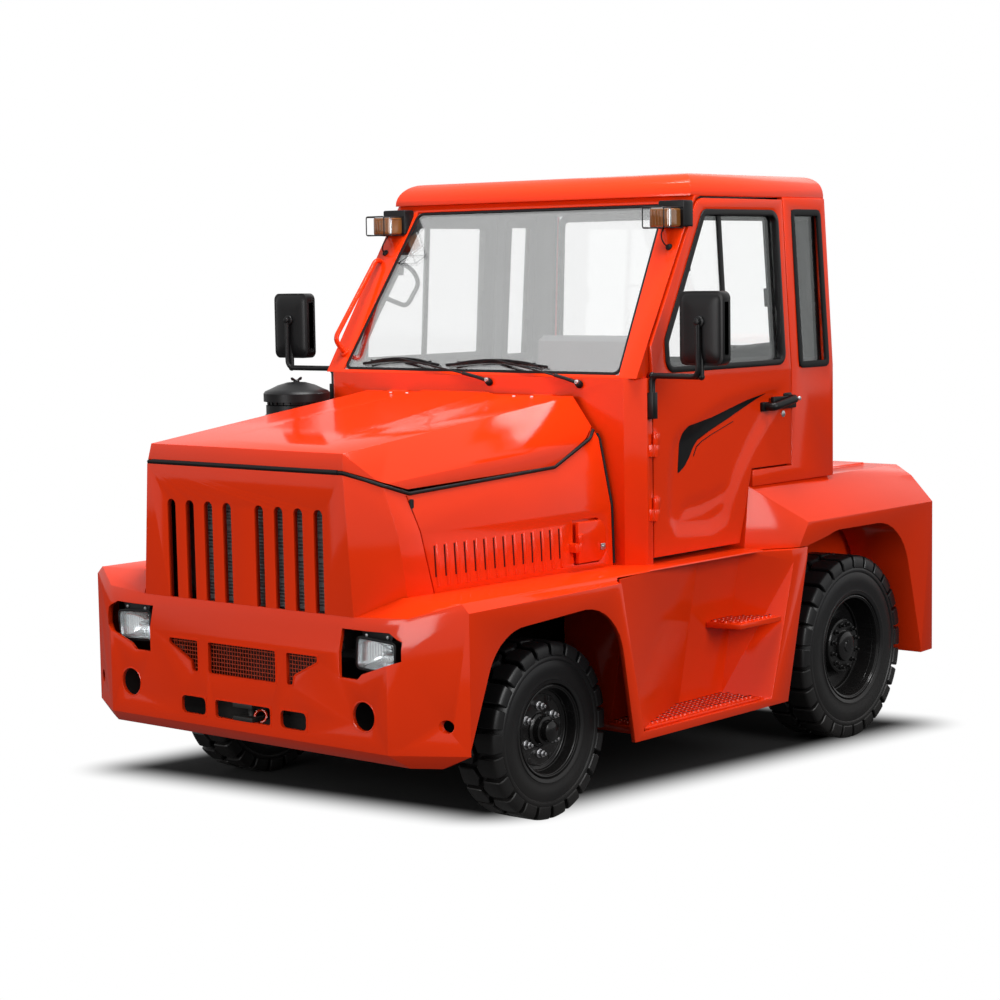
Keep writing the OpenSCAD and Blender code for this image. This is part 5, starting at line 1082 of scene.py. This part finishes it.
def makeLead(label, flip):
    bm = bmesh.new()
    line = [flip @ p for p in smoothLine(workLamp["lead"])]
    addTube(bm, line, workLamp["leadR"], 8)
    obj = addPiece("lampLead" + label.title(), bm, "trim", "chassis", mat=rubber)
    long = sum((b - a).length for a, b in zip(line, line[1:]))
    tuple(line[0])
    [tuple(p) for p in line]


def makeWorkLamps():
    dark, lens, rim = bmesh.new(), bmesh.new(), bmesh.new()
    d = workLamp
    y, z, w, h = d["y"], d["z"], d["wide"], d["high"]
    small, guard, out = box(*d["small"]), box(*d["guard"]), d["guardOut"]
    gx, gy, gz = d["lead"][-1]
    for label, side in leftRight:
        flip = flips[side]
        place = flip @ facing((d["back"][0], y, z), forward)
        addPrism(dark, softOutline(box(w, h), 0.008), d["back"][1] - d["back"][0], 0.003, place)
        addBlock(dark, (0.062, y - 0.012, z - h - 0.012), (0.106, y + 0.012, z - h + 0.002), 0.002, 2, flip)
        at = flip @ facing((d["lens"][0] - 0.001, y, z - 0.014), forward)
        addPrism(lens, softOutline(small, 0.008), d["lens"][1] - d["lens"][0], 0.004, at)
        addBand(rim, insetOutline(small, -0.003), 0.007, 0.010, raised(at, 0.060), 0.010)
        for k in range(-2, 3):
            x = k * d["ribs"]
            addBlock(lens, (x - 0.001, -0.026, 0.0735), (x + 0.001, 0.026, 0.0765), 0.0004, 1, at)
        addTube(dark, [at @ Vector((a, b, out)) for a, b in softOutline(guard, 0.008)], 0.0024, 6, loop=True)
        for a, b in guard:
            leg = ((a * 0.96, b * 0.94, out), (a * 0.98, b * 0.96, 0.05), (a, b, -0.002))
            addTube(dark, [at @ Vector(p) for p in leg], 0.0022, 6)
        addSpin(dark, [(0, 0.010), (0.005, 0.010), (0.008, 0.007), (0.012, 0.003), (0.013, -0.004)],
                flip @ facing((gx - 0.002, gy, gz), screenNormal), 18)
        makeLead(label, flip)
    addPiece("workLampBoxes", dark, "lamp", "chassis", mat=finishes["trim"], stands=("work_lamps",))
    addPiece("workLampLenses", lens, "lamp", "chassis", mat=amber)
    addPiece("workLampRims", rim, "lamp", "chassis", mat=finishes["reflector"])


makeWorkLamps()
print("cab fittings made")

# rails: one outside on the right pillar, a black one inside it
rails = {"out": [(0.150, -0.680, 1.846), (0.192, -0.682, 1.860), (0.432, -0.682, 1.560),
                 (0.386, -0.680, 1.514)],
         "inside": [(0.110, -0.652, 1.858), (0.028, -0.640, 1.815), (0.000, -0.636, 1.765),
                    (0.070, -0.640, 1.676),
                    (0.214, -0.652, 1.722)], "outR": 0.0095, "insideR": 0.009, "bend": 0.030}


def makeRails():
    bm = bmesh.new()
    addTube(bm, roundedPath(rails["out"], rails["bend"], 6), rails["outR"], 14)
    for x, y, z in (rails["out"][0], rails["out"][-1]):
        addDrum(bm, facing((x - 0.006, y, z - 0.004), screenNormal), 0.020, 0.018, 0.008, 20, 0.002)
    addPiece("pillarRail", bm, "paint", "chassis", stands=("grab_rail",))
    bm = bmesh.new()
    addTube(bm, roundedPath(rails["inside"], rails["bend"], 6), rails["insideR"], 12)
    for x, y, z in (rails["inside"][0], rails["inside"][-1]):
        addDrum(bm, facing((x + 0.004, y, z), -Vector(screenNormal)), 0.019, 0.016, 0.012, 18, 0.003)
    addPiece("insideRail", bm, "trim", "chassis")


makeRails()

# air cleaner: a can with rolled beads, a vented cap and a wing nut
cleaner = {"x": 0.555, "y": -0.768, "r": 0.116, "capR": 0.125, "vents": 24, "nutZ": 1.406,
           "wing": [(0.004, 0), (0.026, 0.004), (0.030, 0.014), (0.022, 0.016), (0.004, 0.006)]}


def makeCleaner():
    bm = bmesh.new()
    r, c = cleaner["r"], cleaner["capR"]
    base = Matrix.Translation((cleaner["x"], cleaner["y"], 0))
    addSpin(bm, [(0, 0.7953), (0.062, 0.7953), (0.064, 0.799), (0.062, 0.806), (0.048, 0.808), (0.048, 1.070),
                 (0.060, 1.086), (r - 0.008, 1.086), (r, 1.094), (r, 1.140), (r + 0.004, 1.146), (r, 1.152),
                 (r, 1.262), (r + 0.005, 1.268), (r + 0.005, 1.280), (r, 1.286), (r, 1.318),
                 (r - 0.010, 1.322),
                 (r - 0.010, 1.332), (c, 1.332), (c, 1.362), (c - 0.006, 1.370), (0.100, 1.378),
                 (0.070, 1.392),
                 (0.035, 1.402), (0.012, 1.404), (0.012, 1.408), (0.008, 1.412), (0, 1.412)], base, 56)
    for k in range(cleaner["vents"]):
        at = base @ turned(2 * math.pi * k / cleaner["vents"])
        addBlock(bm, (r - 0.012, -0.004, 1.3205), (r - 0.004, 0.004, 1.3325), 0.001, 1, at)
    for side, turn in ((1, 0), (-1, math.pi)):
        at = base @ Matrix.Translation((0, 0.002 * side, cleaner["nutZ"])) @ turned(turn)
        addPrism(bm, softOutline(cleaner["wing"], 0.003), 0.004, 0.001,
                 at @ Matrix.Rotation(math.pi / 2, 4, "X"))
    addBlock(bm, (r - 0.002, -0.016, 1.262), (r + 0.020, 0.016, 1.287), 0.003, 2, base @ turned(0.5))
    addPiece("airCleanerCan", bm, "trim", "chassis", stands=("air_cleaner",))


makeCleaner()

# steps: raised anti-slip buttons on both treads, each topped with a black disc, painted shade for the dark of
# its hollow
tread = {"pitch": 0.027, "rows": 0.87, "r": 0.0105, "high": 0.0065, "hole": 0.0074, "edge": 0.014,
         "top": (0.548, -0.30, 0.03, 0.72, 0.866), "low": (0.266, -0.24, 0.56, 0.66, 0.866)}


def treadSpots(tree, side, z, x0, x1, y0, y1):
    # staggered places where the tread lies flat all round
    edge, pitch = tread["edge"], tread["pitch"]
    row, y = 0, y0
    while y < y1:
        x = x0 + (pitch / 2 if row % 2 else 0)
        while x < x1:
            spots = [(x, y), (x + edge, y), (x - edge, y), (x, y + edge), (x, y - edge)]
            hits = [tree.ray_cast(Vector((a, side * b, z + 0.05)), Vector((0, 0, -1)))[0] for a, b in spots]
            if all(h is not None and abs(h.z - z) < 0.002 for h in hits):
                yield x, side * y
            x += pitch
        y += pitch * tread["rows"]
        row += 1


def makeTreads():
    tree = treeOf("step_treads")
    bm, dark = bmesh.new(), bmesh.new()
    r, hole, high = tread["r"], tread["hole"], tread["high"]
    for side in flips:
        for area in (tread["top"], tread["low"]):
            for x, y in treadSpots(tree, side, *area):
                addDrum(bm, Matrix.Translation((x, y, area[0] - 0.0004)), r, r * 0.8, high, 10)
                # a black disc on the button's top: painted shade for its hollow
                addDrum(dark, Matrix.Translation((x, y, area[0])), hole, hole * 0.9, high, 8)
    addPiece("treadButtons", bm, "paint", "chassis", smooth=50)
    addPiece("treadHoleShade", dark, "trim", "chassis", mat=rubber)


makeTreads()
print("steps made")

# small front and rear fittings
small = {"lock": (0.524, 0.868), "hoodBolts": ((0.500, 0.254), (0.500, 0.335)), "ring": (1.560, 0.040, 0.372),
         "ringR": (0.020, 0.0042), "jaw": (-1.375, 0.098, (0.302, 0.538)), "tail": (-1.3445, 0.730, 0.740),
         "tailHalf": (0.060, 0.045)}


def makeSmall():
    x, z = small["lock"]
    at = facing((x, sideHit(treeOf("fuel_flap"), x, z).y - 0.001, z), across)
    bm = bmesh.new()
    addPrism(bm, softOutline(box(0.012, 0.011), 0.003), 0.005, 0.001, at)
    addDrum(bm, raised(at, 0.004), 0.006, 0.0055, 0.003, 18, 0.0008)
    addPiece("flapLock", bm, "steel", "fuel_flap")
    tree = treeOf("hood")
    bm = bmesh.new()
    for x, y in small["hoodBolts"]:
        for side in flips:
            hit = tree.ray_cast(Vector((x, side * y, 2.0)), Vector((0, 0, -1)))[0]
            addDrum(bm, Matrix.Translation((x, side * y, hit.z - 0.001)), 0.0065, 0.006, 0.005, 16, 0.0015)
    addPiece("hoodBolts", bm, "steel", "hood")
    bm = bmesh.new()
    r, thick = small["ringR"]
    addRing(bm, r, 0, thick, facing(small["ring"], (1, 0.5, 0.3)), 28, sides=10)
    addPiece("towRing", bm, "red_lens", "chassis", mat=finishes["paint"])
    bm = bmesh.new()
    x, y, zs = small["jaw"]
    for side in flips:
        for z in zs:
            at = facing((x, side * y, z), backward)
            addDrum(bm, at, 0.020, 0.019, 0.003, 24, 0.0008)
            addDrum(bm, raised(at, 0.003), 0.0145, 0.0145, 0.011, 6, 0.0015)
    addPiece("jawBolts", bm, "steel", "chassis")
    bm = bmesh.new()
    x, y, z = small["tail"]
    w, h = small["tailHalf"]
    for side in flips:
        at = facing((x, side * y, z), backward)
        addBand(bm, box(w, h), 0.006, 0.007, raised(at, -0.0045), 0.010)
        addBlock(bm, (0.004 - w, -0.002, -0.004), (w - 0.004, 0.002, 0.0015), 0.0006, 1, at)
    addPiece("tailRims", bm, "trim", "chassis")


makeSmall()
print("small fittings made")

# black frames inside the side windows, with their catches
lining = {"door": [(-0.483, 1.449), (-0.483, 2.017), (-0.007, 2.017), (0.265, 1.565), (0.265, 1.449)],
          "quarter": [(-0.576, 1.436), (-0.576, 2.017), (-0.771, 2.017), (-0.771, 1.436)], "deep": 0.041,
          "thick": 0.012, "stretch": 1.0023, "wide": {"door": 0.040, "quarter": 0.036},
          "catches": {"door": ((-0.448, 1.700), (0.060, 1.835)), "quarter": ((-0.735, 1.640),)},
          "catch": (0.016, 0.034, 0.016)}


def addLining(bm, kind, flip):
    lean = Vector(sideLean)
    y, low = cabBelt
    at = flip @ facing(Vector((0, y, low)) - lining["deep"] * lean, lean)
    outline = insetOutline([(-x, (z - low) * lining["stretch"]) for x, z in lining[kind]], -0.003)
    addBand(bm, outline, lining["wide"][kind], lining["thick"], at, 0.045)
    a, b, c = lining["catch"]
    for x, z in lining["catches"][kind]:
        addBlock(bm, (-x - a, z - low - b, -0.004), (-x + a, z - low + b, c), 0.003, 2, at)


def makeLining():
    for label, side in leftRight:
        bm = bmesh.new()
        addLining(bm, "door", flips[side])
        addPiece("windowLining" + label.title(), bm, "trim", bodyOf["door_" + label], mat=rubber)
    bm = bmesh.new()
    for flip in flips.values():
        addLining(bm, "quarter", flip)
    addPiece("quarterLining", bm, "trim", bodyOf["cab_quarters"], mat=rubber)


makeLining()

# louvres: a painted shadow, a dark red strip laid along the leading side of each pressed rib
louvreShade = {"count": 14, "x": (1.310, 0.721), "z": (0.846, 0.946), "ahead": 0.0105, "r": 0.0034, "out": 0.0004}
shadeRed = finish("shadeRed", (0.055, 0.004, 0.002), 0.6, grain=(200, 0.4), bump=0.03, spec=0.1)


def makeLouvreShade():
    tree = treeOf("side_covers")
    bm = bmesh.new()
    for flip in flips.values():
        for k in range(louvreShade["count"]):
            x = between(louvreShade["x"], k / (louvreShade["count"] - 1)) + louvreShade["ahead"]
            line = [(z, sideHit(tree, x, z)) for z in (between(louvreShade["z"], j / 8) for j in range(9))]
            pts = [flip @ Vector((x, hit.y + louvreShade["out"], z)) for z, hit in line if hit is not None]
            if len(pts) > 2:
                addTube(bm, pts, louvreShade["r"], 6, flat=0.35)
    addPiece("louverShade", bm, "paint", bodyOf["side_covers"], mat=shadeRed)


makeLouvreShade()

# behind the nose: thin bright fins on the radiator and a dark seal at each side of it
core = {"x": 1.467, "y": 0.330, "z": (0.715, 1.085), "pitch": 0.0112, "thick": 0.0042, "deep": 0.010,
        "seal": ((1.380, 0.36, 0.64), (1.396, 0.572, 1.098))}
finBright = finish("finBright", (0.20, 0.20, 0.205), 0.5, metal=0.4, grain=(200, 0.6), bump=0.05)


def makeCore():
    bm = bmesh.new()
    x, y = core["x"], core["y"]
    z, top = core["z"]
    while z < top:
        addBlock(bm, (x - 0.002, -y, z), (x + core["deep"], y, z + core["thick"]), 0.0012, 1)
        z += core["pitch"]
    addPiece("coreFins", bm, "core", bodyOf["radiator"], mat=finBright)
    bm = bmesh.new()
    for flip in flips.values():
        addBlock(bm, *core["seal"], 0.003, 2, flip)
    addPiece("coreSeals", bm, "trim", bodyOf["radiator"], mat=rubber)


makeCore()

# a painted tray behind the fuel flap
tray = {"x": (0.488, 0.690), "z": (0.808, 0.974), "in": 0.021, "thick": 0.003, "by": (0.480, 0.890)}


def makeTray():
    y = sideHit(treeOf("side_covers"), *tray["by"]).y - tray["in"]
    bm = bmesh.new()
    (x0, x1), (z0, z1) = tray["x"], tray["z"]
    addBlock(bm, (x0, y - tray["thick"], z0), (x1, y, z1), 0.001)
    addPiece("flapTray", bm, "paint", bodyOf["side_covers"])


makeTray()
print("linings, louvres and core made")

# flanged rims round the bumper's openings
rim = {"face": 1.6042, "deep": 0.012, "lip": 0.0045, "grow": 0.0006, "hole": (1.603, 0.545, 0.433),
       "holeR": 0.050,
       "holeRim": ((0.0005, -0.011), (0.0005, 0.0006), (-0.001, 0.0014), (-0.0035, 0.0006), (-0.0045, -0.002),
                   (-0.0045, -0.011)),
       "slots": ((oblong(-0.133, 0.133, 0.353, 0.419), 0.012, (1,)),
                 (oblong(0.172, 0.296, 0.353, 0.419), 0.020, (1, -1)),
                 (oblong(-0.161, 0.161, 0.497, 0.608), 0.008, (1,)),
                 ([(0.205, 0.497), (0.236, 0.497), (0.245, 0.532), (0.350, 0.584), (0.350, 0.608),
                   (0.205, 0.608)],
                  0.007, (1, -1)))}


def makeRims():
    bm = bmesh.new()
    face = facing((rim["face"] - rim["deep"], 0, 0), forward)
    for outline, inner, sides in rim["slots"]:
        for side in sides:
            addBand(bm, insetOutline(outline, -rim["grow"]), rim["lip"], rim["deep"], flips[side] @ face,
                    0.0008, 0.0, inner)
    x, y, z = rim["hole"]
    for side in flips:
        addSpin(bm, [(rim["holeR"] + r, out) for r, out in rim["holeRim"]],
                facing((x, side * y, z), forward), 48, loop=True)
    addPiece("bumperRims", bm, "paint", bodyOf["bumper"])


makeRims()

# the rubber strip in front of the cowl
strip = {"x": 0.4475, "by": 0.4625, "z": (0.802, 1.246), "in": 0.006, "r": 0.0065, "steps": 24}


def makeStrip():
    tree = treeOf("side_covers")
    bm = bmesh.new()
    for flip in flips.values():
        levels = [between(strip["z"], k / (strip["steps"] - 1)) for k in range(strip["steps"])]
        line = [(z, sideHit(tree, strip["by"], z)) for z in levels]
        pts = [flip @ Vector((strip["x"], hit.y - strip["in"], z)) for z, hit in line if hit is not None]
        addTube(bm, pts, strip["r"], 8)
    addPiece("cowlStrip", bm, "trim", bodyOf["side_covers"], mat=rubber)


makeStrip()
print("rims made")

# the slanting web that closes the step pocket against the front wheel
web = {"z": (0.266, 0.788), "foreX": (0.579, 0.699), "foreY": 0.8645, "aftX": 0.12, "aftY": (0.6830, 0.7690),
       "levels": 12, "thick": 0.004}


def makeWebs():
    bm = bmesh.new()
    for flip in flips.values():
        made = bmesh.ops.create_grid(bm, x_segments=8, y_segments=web["levels"], size=1.0)
        for v in made["verts"]:
            u, h = (v.co.x + 1) / 2, (v.co.y + 1) / 2
            aft = Vector((web["aftX"], between(web["aftY"], h), 0))
            at = aft.lerp(Vector((between(web["foreX"], h), web["foreY"], 0)), u)
            at.z = between(web["z"], h)
            v.co = flip @ at
    bmesh.ops.recalc_face_normals(bm, faces=bm.faces)
    bmesh.ops.solidify(bm, geom=bm.faces[:], thickness=web["thick"])
    addPiece("pocketWebs", bm, "paint", bodyOf["side_bodies"])


makeWebs()
print("webs made")

# seats: stuffed pads, blown up as cloth and then channelled
seat = {"y": 0.360, "voxel": 0.006, "frames": 20, "pressure": 4.0, "cap": 0.024, "channel": 0.008,
        "channelW": 0.009, "channels": (-0.62, -0.30, 0.02, 0.34, 0.66), "crown": 0.010,
        "cushion": {"size": (0.385, 0.425, 0.085), "at": (-0.465, 0, 1.170), "lean": 0.0, "floor": 1.1242},
        "back": {"size": (0.075, 0.425, 0.375), "at": (-0.702, 0, 1.345), "lean": -0.21, "floor": 1.150},
        "bracket": ((-0.560, 0.224, 1.140), (-0.655, 0.224, 1.150), (-0.712, 0.222, 1.330))}


def shownMesh(obj):
    return bpy.data.meshes.new_from_object(obj.evaluated_get(bpy.context.evaluated_depsgraph_get()))


def puff(obj):
    remesh = obj.modifiers.new("skin", "REMESH")
    remesh.mode = "VOXEL"
    remesh.voxel_size = seat["voxel"]
    skin = shownMesh(obj)
    bpy.data.objects.remove(obj)
    work = bpy.data.objects.new("padWork", skin)
    scene.collection.objects.link(work)
    start = [v.co.copy() for v in skin.vertices]
    cloth = work.modifiers.new("cloth", "CLOTH").settings
    cloth.quality = 5
    cloth.mass = 0.3
    cloth.use_pressure = True
    cloth.uniform_pressure_force = seat["pressure"]
    cloth.effector_weights.gravity = 0
    for f in range(1, seat["frames"] + 1):
        scene.frame_set(f)
    blown = shownMesh(work)
    for v, s in zip(blown.vertices, start):
        move = v.co - s
        if move.length > seat["cap"]:
            v.co = s + move.normalized() * seat["cap"]
    scene.frame_set(1)
    bpy.data.objects.remove(work)
    return blown


def makePad(kind, label, side):
    d = seat[kind]
    bm = bmesh.new()
    size = Vector(d["size"])
    addBlock(bm, -size / 2, size / 2, min(size) * 0.36, 4)
    mesh = bpy.data.meshes.new("padStart")
    bm.to_mesh(mesh)
    bm.free()
    obj = bpy.data.objects.new("padStart", mesh)
    scene.collection.objects.link(obj)
    mesh = puff(obj)
    bm = bmesh.new()
    bm.from_mesh(mesh)
    # sewn channels run across the pad, the flanks are left plain
    run, out = (0, 2) if kind == "cushion" else (2, 0)
    half = size[run] / 2
    for v in bm.verts:
        near = min(abs(v.co[run] - half * k) for k in seat["channels"])
        inner = max(0.0, 1 - (abs(v.co.y) / (size.y * 0.40)) ** 8)
        if v.co[out] > 0:
            v.co[out] -= seat["channel"] * inner * math.exp(-(near / seat["channelW"]) ** 2)
            v.co[out] += seat["crown"] * inner * max(0.0, 1 - (v.co.y / (size.y * 0.5)) ** 2)
    at = Matrix.Translation(Vector(d["at"]) + Vector((0, side * seat["y"], 0)))
    bmesh.ops.transform(bm, matrix=at @ Matrix.Rotation(d["lean"], 4, "Y"), verts=bm.verts)
    for v in bm.verts:
        v.co.z = max(v.co.z, d["floor"])
    stands = ("seats",) if (kind, label) == ("cushion", "left") else ()
    obj = addPiece("seat" + kind.title() + label.title(), bm, "seat", "chassis", smooth=60, stands=stands)


for label, side in leftRight:
    makePad("cushion", label, side)
    makePad("back", label, side)


def makeSeatFrames():
    # the back's steel brackets at both flanks
    bm = bmesh.new()
    for side in flips:
        for flank in flips:
            line = [(x, side * seat["y"] + flank * y, z) for x, y, z in seat["bracket"]]
            addTube(bm, roundedPath(line, 0.03), 0.010, 10)
    addPiece("seatBrackets", bm, "frame_black", "chassis")


makeSeatFrames()
print("seats made")

# dash: dials behind the wheel and a row of rockers
dash = {"dials": ((0.330, 1.500, 0.042), (0.440, 1.500, 0.042), (0.530, 1.492, 0.024)), "face": 0.2215,
        "rockers": (0.020, -0.035, -0.090, -0.145), "rockerZ": 1.330, "rockerX": 0.185, "needle": 0.9,
        "rimLine": ((0, 0), (0.004, 0.003), (0.004, 0.008), (0, 0.009), (-0.003, 0.005), (-0.003, 0.0))}


def makeDash():
    rims, faces, needles = bmesh.new(), bmesh.new(), bmesh.new()
    for y, z, r in dash["dials"]:
        at = facing((dash["face"], y, z), backward)
        addSpin(rims, [(r + a, b) for a, b in dash["rimLine"]], at, 40)
        addDrum(faces, at, r - 0.002, r - 0.002, 0.002, 36, 0.0004)
        for k in range(9):
            turn = at @ turned(math.radians(-120 + 30 * k))
            addBlock(needles, (-0.0007, r * 0.70, 0.002), (0.0007, r * 0.88, 0.0026), 0, 1, turn)
        turn = at @ turned(dash["needle"])
        addBlock(needles, (-0.001, -r * 0.1, 0.003), (0.001, r * 0.66, 0.004), 0.0003, 1, turn)
    for y in dash["rockers"]:
        at = facing((dash["rockerX"], y, dash["rockerZ"]), backward)
        addBand(rims, box(0.018, 0.026), 0.004, 0.004, at, 0.005, 0.001)
        addPrism(faces, softOutline(box(0.013, 0.021), 0.003), 0.006, 0.002, at)
    addPiece("dashRims", rims, "trim", "chassis")
    addPiece("dashFaces", faces, "trim", "chassis")
    addPiece("dashMarks", needles, "steel", "chassis", mat=finishes["reflector"])


makeDash()
print("dash made")
